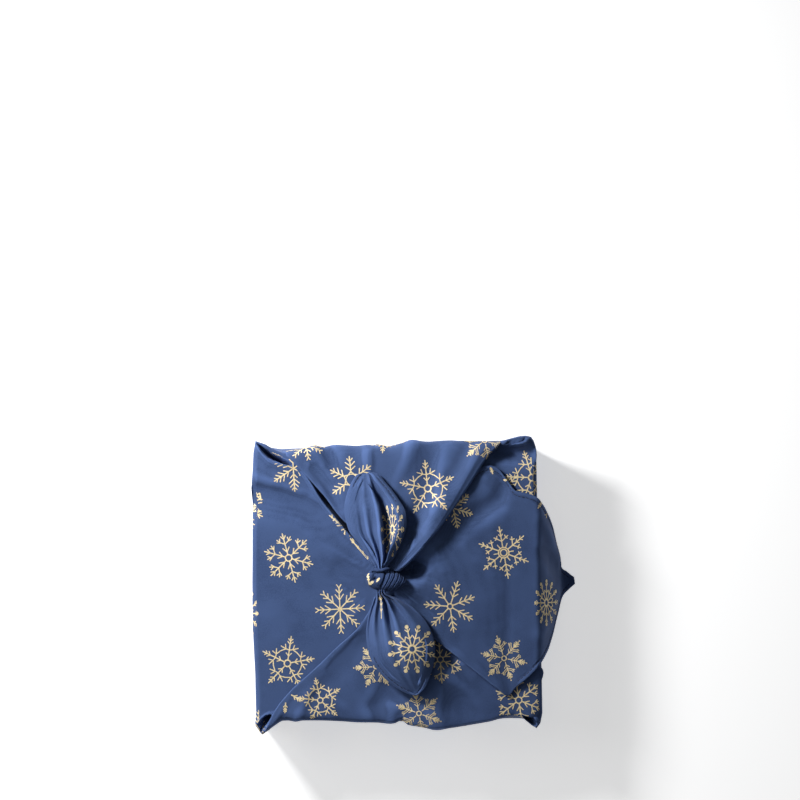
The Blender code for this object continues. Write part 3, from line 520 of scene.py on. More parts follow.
def draped(sections, axis, steps=10, columns=64, folds=(), gathers=(), rim=None, rolls=(1.1, 1.1),
           under=(6.0, 6.0), profile=None, lift_more=None, hems=(2.0, 2.0)):
    """The grid of one folded layer: its outer side, and both its edges rolled and turned under.

    rolls are the radii of the edges on the left and right, and under how far the cloth runs back below.
    hems say from which share of the way on each edge is a hem.
    """
    rows = smooth_rows(sections, steps)
    count = len(rows)
    left, right = rows[:, None, 0:3], rows[:, None, 3:6]
    lean = np.radians(rows[:, None, 6:7])
    outward = np.sin(lean) * np.array(axis) + np.cos(lean) * np.array((0.0, 0.0, 1.0))
    width = np.linalg.norm(right - left, axis=-1)
    progress = np.linspace(0.0, 1.0, count)[:, None]
    radius = [np.minimum(np.broadcast_to(np.asarray(r, float).reshape(-1, 1), (count, 1)), 0.3 * width)
              for r in rolls]
    start, end = radius[0] / width, radius[1] / width
    share = start + (1 - start - end) * graded(columns)[None, :]
    height = 0.0
    if profile is not None:
        share, height = profile(share, progress)
    middle = np.sin(np.pi * np.clip(share, 0, 1))
    plain = left + (right - left) * share[..., None]
    if rim is not None:
        plain[..., 1] += rows[:, None, 8] * rim_shift(rim, plain[..., 0])
    outer = plain + outward * (rows[:, None, 7:8] * middle[..., None] ** 0.7)
    drop = np.clip(FACE_Z + CLOTH - outer[..., 2], 0.0, None)
    leaning = np.sin(lean[..., 0]) > 0.3
    x = outer[..., 0] + axis[0] * np.where(leaning, drop, 0.0)
    y = outer[..., 1] + axis[1] * np.where(leaning, drop, 0.0)
    free = np.clip(middle * 6.0, 0.25, 1.0)
    lift = relief(folds, x, y) * free + gather_lift(gathers, share, progress) * free + height
    if lift_more is not None:
        lift = lift + lift_more(x, y, share, progress)
    for start_at, inside in ((hems[0], share * width), (hems[1], (1 - share) * width)):
        on = smooth(start_at, start_at + 0.03, progress)
        pucker = 1 + 0.8 * noise(progress * 1000, inside * 0.2, 9, 77)
        lift = lift + on * (HEM_PROUD * smooth(HEM + 0.8, HEM - 0.5, inside)
                            - HEM_DIP * pucker * np.exp(-(((inside - HEM) / 0.8) ** 2)))
    outer = outer + outward * lift[..., None]
    parts = [outer]
    turn = np.radians(np.linspace(90, -90, 8))
    for side, r, strip in ((0, radius[0], under[0]), (-1, radius[1], under[1])):
        inner = 1 if side == 0 else -2
        inward = unit(outer[:, inner] - outer[:, side])
        up = unit(outward[:, 0] - inward * (inward * outward[:, 0]).sum(-1, keepdims=True))
        brim = outer[:, side] - inward * r
        curl = [brim + inward * r * (1 - math.cos(a)) + up * r * (math.sin(a) - 1) for a in turn[1:]]
        depth = np.minimum(strip, 0.3 * width)
        curl += [curl[6] + inward * depth * s - up * 0.35 * s for s in (0.25, 0.5, 1.0)]
        curl = np.stack(curl, axis=1)
        if side == 0:
            parts.insert(0, curl[:, ::-1])
        else:
            parts.append(curl)
    grid = np.concatenate(parts, axis=1)
    return Drape(grid, outward, left, right, width, progress, hems)


def cloth_piece(name, drape):
    """The layer as a piece, its faces turned outward and its single cloth given its thickness."""
    grid = drape.grid
    count, columns = grid.shape[:2]
    faces = quads(count, columns)
    middle = slice(columns // 4, 3 * columns // 4)
    facing = (normals_of(grid)[:, middle] * drape.outward).sum()
    if facing < 0:
        faces = [face[::-1] for face in faces]
    piece = Piece(name, grid, faces, ridge_wear_and_highlight(grid, drape.outward))
    piece.drape = drape
    piece.solidify()
    return piece


def side_points(table, shares, along):
    """Points on one side of the face, even along X (0) or Y (1)."""
    rows = np.array(table, float)
    span = rows[0, along] + (rows[-1, along] - rows[0, along]) * shares
    other = np.interp(span, rows[:, along], rows[:, 1 - along])
    return np.stack([span, other] if along == 0 else [other, span], axis=1)


def covered(side, span):
    """The side, one cloth further in where a panel covers it."""
    start, end = span
    x, y = side[:, 0], side[:, 1]
    share = np.clip((x - start) / COVER_FADE, 0, 1) * np.clip((end - x) / COVER_FADE, 0, 1)
    return np.stack([x, y - np.sign(y) * CLOTH * share], axis=1)


def outline_loop(sides):
    bottom, right, top, left = sides
    return np.vstack([bottom[:-1], right[:-1], top[::-1][:-1], left[::-1][:-1]])


def inset_loop(loop, inset):
    """The loop drawn in towards its middle, by inset at its sides."""
    return loop * (1 - inset / np.array((BOX_WIDTH / 2, BOX_LENGTH / 2)))


def face_grid(loop, count):
    """A grid that fills the loop, blended from its four sides."""
    bottom = loop[: count + 1]
    right = loop[count : 2 * count + 1]
    top = loop[2 * count : 3 * count + 1][::-1]
    left = np.vstack([loop[3 * count :], loop[:1]])[::-1]
    s = graded(count + 1)[None, :, None]
    t = graded(count + 1)[:, None, None]
    sides = (1 - t) * bottom[None] + t * top[None] + (1 - s) * left[:, None] + s * right[:, None]
    corners = (1 - s) * (1 - t) * bottom[0] + s * (1 - t) * bottom[-1]
    corners = corners + (1 - s) * t * top[0] + s * t * top[-1]
    return sides - corners


def pocket_lift(x, y):
    """How the cloth dives into the openings behind the folded corners, and stands up round them."""
    lift = np.zeros(np.shape(x))
    for points in POCKETS:
        rows = smooth_rows(points, 4)
        nearest = np.full(np.shape(x), np.inf)
        dive = np.zeros(np.shape(x))
        for (x0, y0, w0, deep0), (x1, y1, w1, deep1) in zip(rows, rows[1:]):
            share, distance = nearest_on(x, y, x0, y0, x1, y1)
            distance = distance - (w0 + share * (w1 - w0))
            nearest = np.minimum(nearest, distance)
            dive = np.maximum(dive, (deep0 + share * (deep1 - deep0)) * smooth(0.7, -1.5, distance))
        lift = lift - dive + POCKET_LIP * np.exp(-((nearest - 1.2) / 1.1) ** 2)
    return lift


def body_lift(x, y):
    soft = 0.5 * noise(x, y, 34, 3) + 0.25 * noise(x, y, 15, 4)
    return relief(BASE_FOLDS, x, y) + soft + pull_creases(x, y, 11)


def edge_x(sections, column, y):
    """Where a layer's left (0) or right (3) edge lies at y."""
    table = sorted((row[column + 1], row[column]) for row in sections if row.lean < 30)
    return np.interp(y, [t[0] for t in table], [t[1] for t in table])


def hidden(x, y):
    """Where the cloth on the box lies far enough below the panels and the flap to end there."""
    top = (y > 16) & (y < 112) & (x > edge_x(SIDE_FOLD, 0, y) + 4.5) & (x < edge_x(TOP_PANEL, 3, y) - 8)
    low = (y < -8) & (y > -112) & (x > edge_x(BOTTOM_PANEL, 0, y) + 12)
    low = low & (x < edge_x(BOTTOM_PANEL, 3, y) - 12)
    rows = [row for row in FLAP if row.right_x < 119]
    flap_x = [row.right_x for row in rows]
    flap = (x > 4) & (x < 112) & (y > np.interp(x, flap_x, [row.left_y for row in rows]) + 10)
    return top | low | (flap & (y < np.interp(x, flap_x, [row.right_y for row in rows]) - 12))


def make_body():
    """The cloth that lies straight on the box: rings from the underside up the walls, then the face."""
    count = FACE_STEPS
    shares = graded(count + 1)
    rims = ((BOTTOM_RIM, 0), (RIGHT_RIM, 1), (TOP_RIM, 0), (LEFT_RIM, 1))
    bottom, right, top, left = (side_points(rim, shares, along) for rim, along in rims)
    face_loop = outline_loop((covered(bottom, BOTTOM_COVERED), right, covered(top, TOP_COVERED), left))
    x, y = BOX_WIDTH / 2, BOX_LENGTH / 2
    plain = (((-x, -y), (x, -y)), ((x, -y), (x, y)), ((-x, y), (x, y)), ((-x, -y), (-x, y)))
    foot_loop = outline_loop([side_points(ends, shares, along) for ends, (_, along) in zip(plain, rims)])
    size = len(face_loop)
    place = np.arange(size)
    rings = []
    for scale in (0.0, 0.35, 0.7, 0.94):
        rings.append(np.column_stack([foot_loop * scale, np.full(size, FLOOR_GAP)]))
    for height, share, inset in smooth_rows(WALL_ROWS, 4):
        bulge = 0.9 * math.sin(math.pi * min(1.0, height / FACE_Z))
        wavy = bulge * noise(place * 2.0, np.full(size, height), 26, 7)
        ring = inset_loop(foot_loop * (1 - share) + face_loop * share, inset)
        ring = inset_loop(ring, wavy[:, None] * 0.8)
        rings.append(np.column_stack([ring, np.full(size, max(height, FLOOR_GAP))]))
    grid = face_grid(inset_loop(face_loop, RIM_INSET), count)
    for ring in rings:
        near_top = smooth(FACE_Z - 4.0, FACE_Z - 0.5, ring[:, 2])
        ring[:, 2] += near_top * (body_lift(ring[:, 0], ring[:, 1]) + pocket_lift(ring[:, 0], ring[:, 1]))
    dip = pocket_lift(grid[..., 0], grid[..., 1])
    high = FACE_Z + body_lift(grid[..., 0], grid[..., 1]) + dip
    grid = inset_loop(grid, 0.38 * np.clip(-dip - 5.0, 0.0, None)[..., None])
    points = np.vstack(rings + [np.dstack([grid, high]).reshape(-1, 3)])
    faces = quads(len(rings), size, round_it=True)
    start = len(rings) * size
    middle = (grid[1:, 1:] + grid[:-1, :-1]) / 2
    keep = ~hidden(middle[..., 0], middle[..., 1])
    faces += [tuple(start + i for i in face) for face in quads(count + 1, count + 1, keep)]
    side = count + 1
    rim = list(range(side))
    rim += [row * side + count for row in range(1, side)]
    rim += [count * side + column for column in range(count - 1, -1, -1)]
    rim += [row * side for row in range(count - 1, 0, -1)]
    last = start - size
    for i in range(size):
        j = (i + 1) % size
        faces.append((last + i, last + j, start + rim[j], start + rim[i]))
    # Ridge heights of the face, which the cotton paints paler, partly as wear and partly as a painted
    # highlight.
    wear_and_highlight = np.zeros(len(points))
    flat = np.dstack([grid, high])
    wear_and_highlight[start:] = ridge_wear_and_highlight(flat, np.broadcast_to((0.0, 0.0, 1.0), flat.shape)).ravel()
    body = Piece("body_cloth", points, faces, wear_and_highlight)
    shape = bmesh.new()
    shape.from_mesh(body.object.data)
    bmesh.ops.recalc_face_normals(shape, faces=shape.faces)
    if sum(face.normal.z for face in shape.faces if face.calc_center_median().z > 0.9 * FACE_Z * MM) < 0:
        bmesh.ops.reverse_faces(shape, faces=shape.faces)
    shape.to_mesh(body.object.data)
    shape.free()
    return body


def make_layers():
    """The panels, the fold beside the upper one, the flap and both tails."""
    up_face, down_face, rightward = (0.0, 1.0, 0.0), (0.0, -1.0, 0.0), (1.0, 0.0, 0.0)

    def panel_wrinkles(seed):
        def lift(x, y, share, progress):
            soft = 0.45 * noise(x, y, 30, seed) + 0.2 * noise(x, y, 12, seed + 1)
            return soft + pull_creases(x, y, seed + 2)

        return lift

    def pulled_up(x, y, share, progress):
        """The flap's wrinkles, and how it stands up towards the knot."""
        away = np.hypot(x - KNOT_X, y - KNOT_Y)
        rise = FLAP_RISE * np.exp(-np.maximum(away, FLAP_RISE_FROM) / FLAP_RISE_FADE)
        return panel_wrinkles(31)(x, y, share, progress) + rise

    def narrow_fold(share, progress):
        return share, np.interp(share, (0, 0.16, 0.34, 0.44, 0.8, 1), (0, 0.8, 0.2, -6.0, -24.0, -26.0))

    def rounded_end(share, progress):
        """The right edge, which goes over the face's edge there and shows as no step."""
        on_face = smooth(0.40, 0.48, progress) * smooth(0.80, 0.70, progress)
        return share, on_face * np.interp(share, (0, 0.955, 0.98, 1), (0, 0, -0.5, -1.8))

    def doubled(share, progress):
        """The S that the upper tail is folded in: over, back below itself, and out again."""
        table = np.array((
            (0.0, 0.0, 0.0), (0.40, 0.57, 0.8), (0.43, 0.605, 0.2), (0.445, 0.61, -1.2), (0.46, 0.59, -2.6),
            (0.52, 0.50, -5.0), (0.535, 0.485, -6.2), (0.55, 0.50, -7.6), (0.62, 0.60, -9.0),
            (0.68, 0.67, -6.0), (0.76, 0.75, -2.6), (0.86, 0.86, -0.8), (1.0, 1.0, -0.4),
        ))
        amount = smooth(0.84, 0.62, progress) * (0.35 + 0.65 * smooth(0.0, 0.16, progress))
        across = np.interp(share, table[:, 0], table[:, 1])
        drop = np.interp(share, table[:, 0], table[:, 2])
        return share * (1 - amount) + across * amount, drop * amount

    def tail_wrinkles(seed):
        def lift(x, y, share, progress):
            fine = 0.3 * noise(share * 100, progress * 14, 6, seed + 1) * smooth(1.0, 0.3, progress)
            return 0.35 * noise(x, y, 11, seed) + fine

        return lift

    made = {}

    def add(name, sections, axis, **shape):
        made[name] = cloth_piece(name, draped(sections, axis, **shape))

    add("lower_panel", BOTTOM_PANEL, down_face, folds=BOTTOM_FOLDS, rim=BOTTOM_RIM, columns=90,
        profile=rounded_end, lift_more=panel_wrinkles(21))
    add("side_fold", SIDE_FOLD, up_face, columns=24, rolls=(0.9, 0.3), under=(3.0, 1.0), profile=narrow_fold)
    left_roll = np.interp(np.linspace(0, 1, 129), (0.33, 0.40), (1.5, 0.5))
    add("flap", FLAP, rightward, steps=8, columns=90, folds=FLAP_FOLDS, under=(HEM, HEM),
        rolls=(left_roll, 0.6), lift_more=pulled_up, hems=(0.44, 0.0))
    right_roll = np.interp(np.linspace(0, 1, 121), (0.3, 0.5, 1.0), (1.1, 2.8, 2.8))
    add("upper_panel", TOP_PANEL, up_face, folds=TOP_FOLDS, rim=TOP_RIM, columns=90,
        lift_more=panel_wrinkles(41), rolls=(1.1, right_roll))
    add("upper_tail", UPPER_TAIL, up_face, columns=120, gathers=UPPER_GATHERS, rolls=(1.0, 0.8),
        under=(9.0, 9.0), profile=doubled, lift_more=tail_wrinkles(51), hems=(0.72, 0.6))
    add("lower_tail", LOWER_TAIL, down_face, columns=110, gathers=LOWER_GATHERS, rolls=(0.8, 0.8),
        under=(9.0, 9.0), lift_more=tail_wrinkles(61), hems=(0.8, 0.6))
    return made


def tube(name, rings):
    """A closed piece through rings of equally many points, with pointed ends."""
    count = len(rings[0])
    points = np.vstack(list(rings) + [rings[0].mean(axis=0)[None], rings[-1].mean(axis=0)[None]])
    faces = quads(len(rings), count, round_it=True)
    first, last = len(points) - 2, len(points) - 1
    for i in range(count):
        j = (i + 1) % count
        faces.append((first, j, i))
        faces.append((last, (len(rings) - 1) * count + i, (len(rings) - 1) * count + j))
    return Piece(name, points, faces)


def tube_rings(path, radii, around, wobble, seed):
    """Uneven rings round a path."""
    ahead = unit(np.gradient(path, axis=0))
    turn = circle(around)
    rings = []
    for row, (point, way, radius) in enumerate(zip(path, ahead, radii)):
        out = unit(np.cross(way, (0.0, 0.0, 1.0)))
        up = np.cross(out, way)
        r = radius * (1 + wobble * noise(turn * 10, np.full(around, row * 1.0), 7, seed))
        rings.append(point + r[:, None] * (np.cos(turn)[:, None] * out + np.sin(turn)[:, None] * up))
    return rings


def make_knot():
    """The wound part of the knot, the loop at its left end and the lip along its upper rim."""
    around = 84
    pit_x, pit_y, pit_depth, pit_width = KNOT_PIT
    turn = circle(around)
    rings = []
    for along, up, high, deep in smooth_rows(KNOT_RINGS, 22):
        push = np.zeros(around)
        for place, depth, width in KNOT_CREASES:
            gap = along - place + 0.5 * noise(turn * 10, np.full(around, place), 9, 5)
            push -= 1.3 * depth * np.exp(-np.abs(gap / width) ** 1.5)
        push -= 0.35 * np.abs(noise(np.full(around, along), turn * 3, 1.7, 8)) ** 0.5
        across = along * (1 + KNOT_FAN * np.cos(turn)) + KNOT_SKEW * high * np.cos(turn)
        across += KNOT_BULGE * np.sin(turn) ** 2
        away = np.hypot(across - pit_x, up + high * np.cos(turn) - pit_y)
        push -= np.where(np.sin(turn) > 0, pit_depth * np.exp(-((away / pit_width) ** 2)), 0.0)
        y = KNOT_Y + up + (high + push) * np.cos(turn)
        z = KNOT_Z + (deep + push) * np.sin(turn)
        rings.append(np.stack([KNOT_X + across, y, z], axis=1))
    middle = np.array((KNOT_X, KNOT_Y, KNOT_Z))
    made = {"knot_wraps": tube("knot_wraps", rings)}
    for name, table, around, wobble, seed in (
        ("knot_loop", KNOT_LOOP, 40, 0.12, 9),
        ("knot_collar", KNOT_COLLAR, 24, 0.15, 10),
    ):
        rows = smooth_rows(table, 10)
        made[name] = tube(name, tube_rings(rows[:, :3] + middle, rows[:, 3], around, wobble, seed))
    return made


# A printed snowflake: its arms, the lines of one arm that points along +Y (x, y of each point, and each
# barb also mirrored), the dots on it (along, radius), the rings round the middle (radius, width) and a
# spike between each two arms (from, to), all as shares of its size, and fine, how much finer it is drawn
Design = namedtuple("Design", "arms lines dots rings spike fine", defaults=((), (), None, 1.0))
DESIGNS = {
    "fern8": Design(8, (
        (0, 0, 0, 0.87), (0, 0.37, 0.17, 0.60), (0, 0.64, 0.13, 0.80), (0, 0.86, 0.09, 1),
    )),
    "fern7": Design(7, (
        (0, 0.1, 0, 0.98), (0, 0.36, 0.15, 0.53), (0, 0.56, 0.15, 0.73), (0, 0.76, 0.11, 0.90),
    ), rings=((0.10, 0.05),)),
    "fern6": Design(6, (
        (0, 0, 0, 0.98), (0, 0.24, 0.15, 0.40), (0, 0.44, 0.22, 0.64), (0, 0.62, 0.17, 0.79),
        (0, 0.80, 0.10, 0.91),
    )),
    "fork6": Design(6, (
        (0, 0.14, 0, 1), (0, 0.24, 0.13, 0.42), (0, 0.56, 0.18, 0.68, 0.16, 0.82),
        (0.18, 0.68, 0.28, 0.80), (0.14, 0.65, 0.30, 0.69), (0, 0.76, 0.10, 0.90),
    ), rings=((0.13, 0.05),)),
    "ring5": Design(5, (
        (0, 0.13, 0, 1), (0, 0.27, 0.10, 0.38), (0, 0.49, 0.128, 0.52, 0.277, 0.44),
        (0.128, 0.52, 0.317, 0.60), (0.128, 0.52, 0.17, 0.69), (0, 0.70, 0.10, 0.80),
        (0, 0.83, 0.08, 0.90), (0.29, 0.43, 0.34, 0.40),
    ), rings=((0.12, 0.05),)),
    "spiky6": Design(6, (
        (0, 0.2, 0, 1), (0, 0.44, 0.17, 0.56, 0.27, 0.62), (0.17, 0.56, 0.15, 0.66),
        (0.17, 0.56, 0.24, 0.52), (0, 0.62, 0.08, 0.71), (0, 0.79, 0.09, 0.88),
    ), rings=((0.13, 0.05), (0.20, 0.045)), spike=(0.2, 0.38)),
    "cluster6": Design(6, (
        (0, 0.17, 0, 0.94), (0, 0.30, 0.12, 0.42), (0, 0.44, 0.20, 0.56, 0.25, 0.68),
        (0, 0.52, 0.16, 0.62, 0.20, 0.70), (0.20, 0.56, 0.30, 0.61), (0, 0.62, 0.09, 0.74),
        (0, 0.70, 0.05, 0.76, 0.05, 0.90), (0, 0.80, 0.10, 0.88), (0, 0.68, 0.12, 0.80),
    ), dots=((1, 0.03),), rings=((0.10, 0.05),), fine=0.72),
    "ball12": Design(12, (
        (0, 0.15, 0, 0.90), (0, 0.70, 0.10, 0.82), (0, 0.42, 0.145, 0.54),
    ), dots=((0.92, 0.08),), rings=((0.15, 0.08),)),
    "twig": Design(1, (
        (0, -1, 0, 1), (0, -0.5, 0.14, -0.3), (0, -0.1, 0.16, 0.12), (0, 0.3, 0.16, 0.52),
        (0, 0.7, 0.10, 0.84),
    )),
    "spray": Design(1, ((0, -0.8, 0, 1), (0, 0.1, 0.3, 0.5), (0, -0.4, 0.34, 0), (0, 0.5, 0.24, 0.8))),
    "hex6": Design(6, (
        (0, 0.3, 0, 1), (0, 0.36, 0.208, 0.12), (0, 0.40, 0.20, 0.56), (0, 0.58, 0.20, 0.76),
        (0, 0.78, 0.12, 0.91),
    )),
}
STEM_WIDE = 1.08  # width of an arm's stem
BARB_WIDE = 0.94  # width of its barbs
PRINT_STEP = 1.3  # longest face along a line of the print
PRINT_LIFT = 0.16  # how far it stands off the cloth
PRINT_ORDER = 0.012  # how much higher the next strip lies, so that crossing strips never share a face
PRINT_LONGEST = 3.0  # a longer face would bridge a fold, so it is left out
EDGE_BEND = 4.0  # the radius on which the print goes over the face's edge
RAY_START = 60.0  # how far out a ray starts
DOT_POINTS = 14
STITCH_PITCH = 3.6  # from one stitch to the next one
STITCH_LONG = 2.4
STITCH_HALF = 0.28  # half the width of a stitch
STITCH_HIGH = 0.34  # how far its middle stands off the cloth
STITCH_BRIM = 0.1  # how far its edges do

# Where each is printed: design, x, y, half its height, turn in degrees, and half its width if that differs
PRINTS = {
    "body_cloth": (
        ("fork6", -97, 24.6, 22.6, 15), ("fern8", -50.8, -21.4, 22, 3), ("ring5", -98.1, -70.2, 24.5, -8),
        ("ring5", 121.7, 96.9, 25, 16), ("fern6", -92.9, 105.1, 21, 4), ("hex6", -140, 69.8, 21, 8),
        ("ball12", -146, -25.4, 22, 0), ("fern6", -129, -134, 22, 0), ("fern8", -83, -119, 21.7, 10),
        ("fern6", 93.8, 84, 22, 15), ("fern7", -160, 118, 22, 0), ("ring5", -162, 22, 22, 0),
        ("fern8", -160, -82, 22, 0), ("fork6", 158, -92, 22, 0), ("cluster6", 160, 72, 22, 0),
        ("fern6", 156, -20, 22, 0), ("spray", -107.6, 118.2, 4, 62, 6.4),
    ),
    "lower_panel": (
        ("ring5", -68.6, -103.4, 20.5, 12), ("cluster6", 20.2, -115.2, 21, 10),
        ("cluster6", -18.5, -73, 20, 34), ("fork6", 110, -103.3, 22, 8), ("fork6", 39.4, -66.8, 21, 4),
        ("fern8", -104, -160, 21, 0), ("spiky6", -28, -158, 22, 0), ("fern7", 62, -156, 22, 0),
        ("ring5", 112, -163, 22, 0), ("spray", -90.3, -100.9, 6.2, -119), ("spray", -100, -109.6, 5, 176),
    ),
    "upper_panel": (
        ("ring5", 28.1, 87.2, 25.4, 6), ("cluster6", 79.3, 130.5, 21, 12), ("hex6", -40.3, 95.1, 21, 6),
        ("fern8", -82, 130, 17.5, 10), ("ring5", -11, 141, 22, 176), ("spiky6", 42, 162, 22, 0),
        ("fern7", -60, 168, 21, 0),
    ),
    "side_fold": (("fern6", -46, 51, 19, 50), ("twig", -31, 30, 16, 41)),
    "flap": (
        ("fern7", 48.1, -18.8, 24, 34), ("spiky6", 96.4, 29.4, 23.6, 10),
        ("cluster6", 96.7, -65.5, 20.8, 18), ("ball12", 134.9, -15.8, 21, 0, 11),
        ("fern6", 51, 69.5, 18.6, 12), ("fern8", 142, 76, 20, 0, 11), ("spray", 85.7, 102.8, 3.2, 20),
        ("spray", 98.2, 94.6, 2, 80), ("spray", 128.6, 71.5, 3.2, -30),
    ),
    "lower_tail": (
        ("ball12", 14, -56.8, 22.2, 14), ("twig", -13.6, -17, 12.5, 2, 6), ("spray", -14.6, -9, 4, 170),
    ),
    "knot_loop": (("twig", -25.3, 7.6, 6, 8), ("spray", -23.2, 2, 3.2, -50)),
    "knot_wraps": (("spray", -16.6, 5.2, 2.2, -35),),
    "upper_tail": (("ball12", -3.6, 50.5, 24.5, 0, 10.5),),
}
# What is printed straight from above
STRAIGHT = ("flap", "lower_tail", "upper_tail", "side_fold", "knot_loop", "knot_wraps")
# The print on the underside: design, x, y
UNDERSIDE_SIZE = 22.0
UNDERSIDE_TURN = 25  # degrees from each snowflake to the next one
UNDERSIDE = (
    ("fern8", -84, 78), ("ring5", -22, 86), ("fern7", 40, 74), ("spiky6", 98, 88), ("cluster6", -96, 14),
    ("fork6", -34, 22), ("ball12", 26, 10), ("fern6", 88, 22), ("ring5", -78, -48), ("fern8", -14, -50),
    ("cluster6", 54, -56), ("fern7", 108, -40), ("ball12", -98, -100), ("spiky6", -36, -98),
    ("fork6", 20, -100), ("ring5", 82, -102),
)


def ribbon(points, wide, closed=False):
    """A strip along a line in the plane: two points at each place, and the faces between them."""
    points = np.array(points, float)
    if closed:
        points = np.vstack([points, points[:1]])
    made = [points[:1]]
    for start, end in zip(points, points[1:]):
        count = max(1, math.ceil(np.linalg.norm(end - start) / PRINT_STEP))
        made.append(start + (end - start) * np.linspace(0, 1, count + 1)[1:, None])
    line = np.vstack(made)
    if closed:
        line = line[:-1]
        ahead = np.roll(line, -1, axis=0) - np.roll(line, 1, axis=0)
    else:
        ahead = np.gradient(line, axis=0)
    ahead = unit(ahead)
    beside = np.stack([-ahead[:, 1], ahead[:, 0]], axis=1) * (wide / 2)
    if not closed:
        line = np.vstack([line[:1] - ahead[:1] * wide * 0.3, line, line[-1:] + ahead[-1:] * wide * 0.3])
        beside = np.vstack([beside[:1] * 0.5, beside, beside[-1:] * 0.5])
    pairs = np.stack([line - beside, line + beside], axis=1).reshape(-1, 2)
    count = len(line)
    faces = [(2 * i, 2 * i + 1, 2 * ((i + 1) % count) + 1, 2 * ((i + 1) % count))
             for i in range(count if closed else count - 1)]
    return pairs, faces


def dot(x, y, radius):
    turn = circle(DOT_POINTS)
    rim = np.stack([x + radius * np.cos(turn), y + radius * np.sin(turn)], axis=1)
    points = np.vstack([rim, [[x, y]]])
    return points, [(i, (i + 1) % DOT_POINTS, DOT_POINTS) for i in range(DOT_POINTS)]


def flake_shapes(design, size):
    """The strips and dots of one snowflake about 0, 0."""
    shapes = []

    def spun(x, y, angle):
        return (size * (x * math.cos(angle) - y * math.sin(angle)),
                size * (x * math.sin(angle) + y * math.cos(angle)))

    for arm in range(design.arms):
        angle = 2 * np.pi * arm / design.arms
        for line in design.lines:
            stem = line[-2] == 0
            wide = design.fine * (STEM_WIDE if stem else BARB_WIDE)
            for side in ((1,) if stem else (-1, 1)):
                points = [spun(side * x, y, angle) for x, y in zip(line[::2], line[1::2])]
                shapes.append(ribbon(points, wide))
        for at, radius in design.dots:
            shapes.append(dot(*spun(0, at, angle), radius * size))
        if design.spike:
            between = angle + np.pi / design.arms
            shapes.append(ribbon([spun(0, at, between) for at in design.spike], BARB_WIDE))
    for radius, wide in design.rings:
        count = max(14, int(2 * np.pi * radius * size / PRINT_STEP))
        turn = circle(count)
        rim = radius * size * np.stack([np.cos(turn), np.sin(turn)], axis=1)
        shapes.append(ribbon(rim, max(wide * size, BARB_WIDE), True))
    return shapes


def turned_flake(design, x, y, half_y, turn, half_x=None):
    """The snowflake, turned in its own plane, squeezed to its two half sizes and moved to its place."""
    half_x = half_x or half_y
    angle, size = math.radians(turn), max(half_x, half_y)
    spin = np.array(((math.cos(angle), math.sin(angle)), (-math.sin(angle), math.cos(angle))))
    squeeze = np.array((half_x, half_y)) / size
    return [(np.array((x, y)) + (points @ spin) * squeeze, faces)
            for points, faces in flake_shapes(design, size)]


def ray_down(x, y):
    return Vector((x, y, 200)), Vector((0, 0, -1))


def ray_up(x, y):
    return Vector((x, y, -50)), Vector((0, 0, 1))


def ray_towards(x, y):
    """Where a ray starts and how it goes to reach the place x, y of the cloth unfolded flat."""
    sides = (
        (x - np.interp(y, *np.array(RIGHT_RIM).T[::-1]), (1.0, 0.0)),
        (np.interp(y, *np.array(LEFT_RIM).T[::-1]) - x, (-1.0, 0.0)),
        (y - np.interp(x, *np.array(TOP_RIM).T), (0.0, 1.0)),
        (np.interp(x, *np.array(BOTTOM_RIM).T) - y, (0.0, -1.0)),
    )
    over, way = max(sides)
    bend = EDGE_BEND
    share = min(max((over + bend) / (2 * bend), 0.0), 1.0)
    angle = share * math.pi / 2
    back = max(over + bend, 0.0)
    pivot = Vector((x - way[0] * back, y - way[1] * back, FACE_Z + 3 - bend - max(over - bend, 0.0)))
    if back == 0.0:
        pivot = Vector((x, y, FACE_Z))
    out = Vector((way[0] * math.sin(angle), way[1] * math.sin(angle), math.cos(angle)))
    return pivot + out * RAY_START, -out


def lay_on(piece, name, shapes, rays):
    """Lays flat strips and dots on a piece of cloth, and leaves out what misses it."""
    points, faces = [], []
    for number, (flat, strip) in enumerate(shapes):
        hits = []
        for x, y in flat:
            start, way = rays(x, y)
            place, normal, _, _ = piece.tree.ray_cast(start, way)
            if place is not None:
                normal = normal if normal.dot(way) < 0 else -normal
                place = place + normal * (PRINT_LIFT + PRINT_ORDER * (number % 5))
            hits.append(place)
        first = len(points)
        points += [tuple(hit) if hit is not None else (0.0, 0.0, 0.0) for hit in hits]
        for face in strip:
            corners = [hits[i] for i in face]
            if any(corner is None for corner in corners):
                continue
            if max((a - b).length for a, b in zip(corners, corners[1:] + corners[:1])) > PRINT_LONGEST:
                continue
            faces.append(tuple(first + i for i in face))
    return Piece(name, points, faces)


def make_prints(pieces):
    """The print of each piece, with the piece that carries it."""
    made = []
    for host, flakes in PRINTS.items():
        shapes = []
        for kind, *place in flakes:
            shapes += turned_flake(DESIGNS[kind], *place)
        rays = ray_down if host in STRAIGHT else ray_towards
        made.append((pieces[host], lay_on(pieces[host], "print_" + host, shapes, rays)))
    shapes = []
    for number, (kind, x, y) in enumerate(UNDERSIDE):
        shapes += turned_flake(DESIGNS[kind], x, y, UNDERSIDE_SIZE, UNDERSIDE_TURN * number)
    made.append((pieces["body_cloth"], lay_on(pieces["body_cloth"], "print_underside", shapes, ray_up)))
    return made


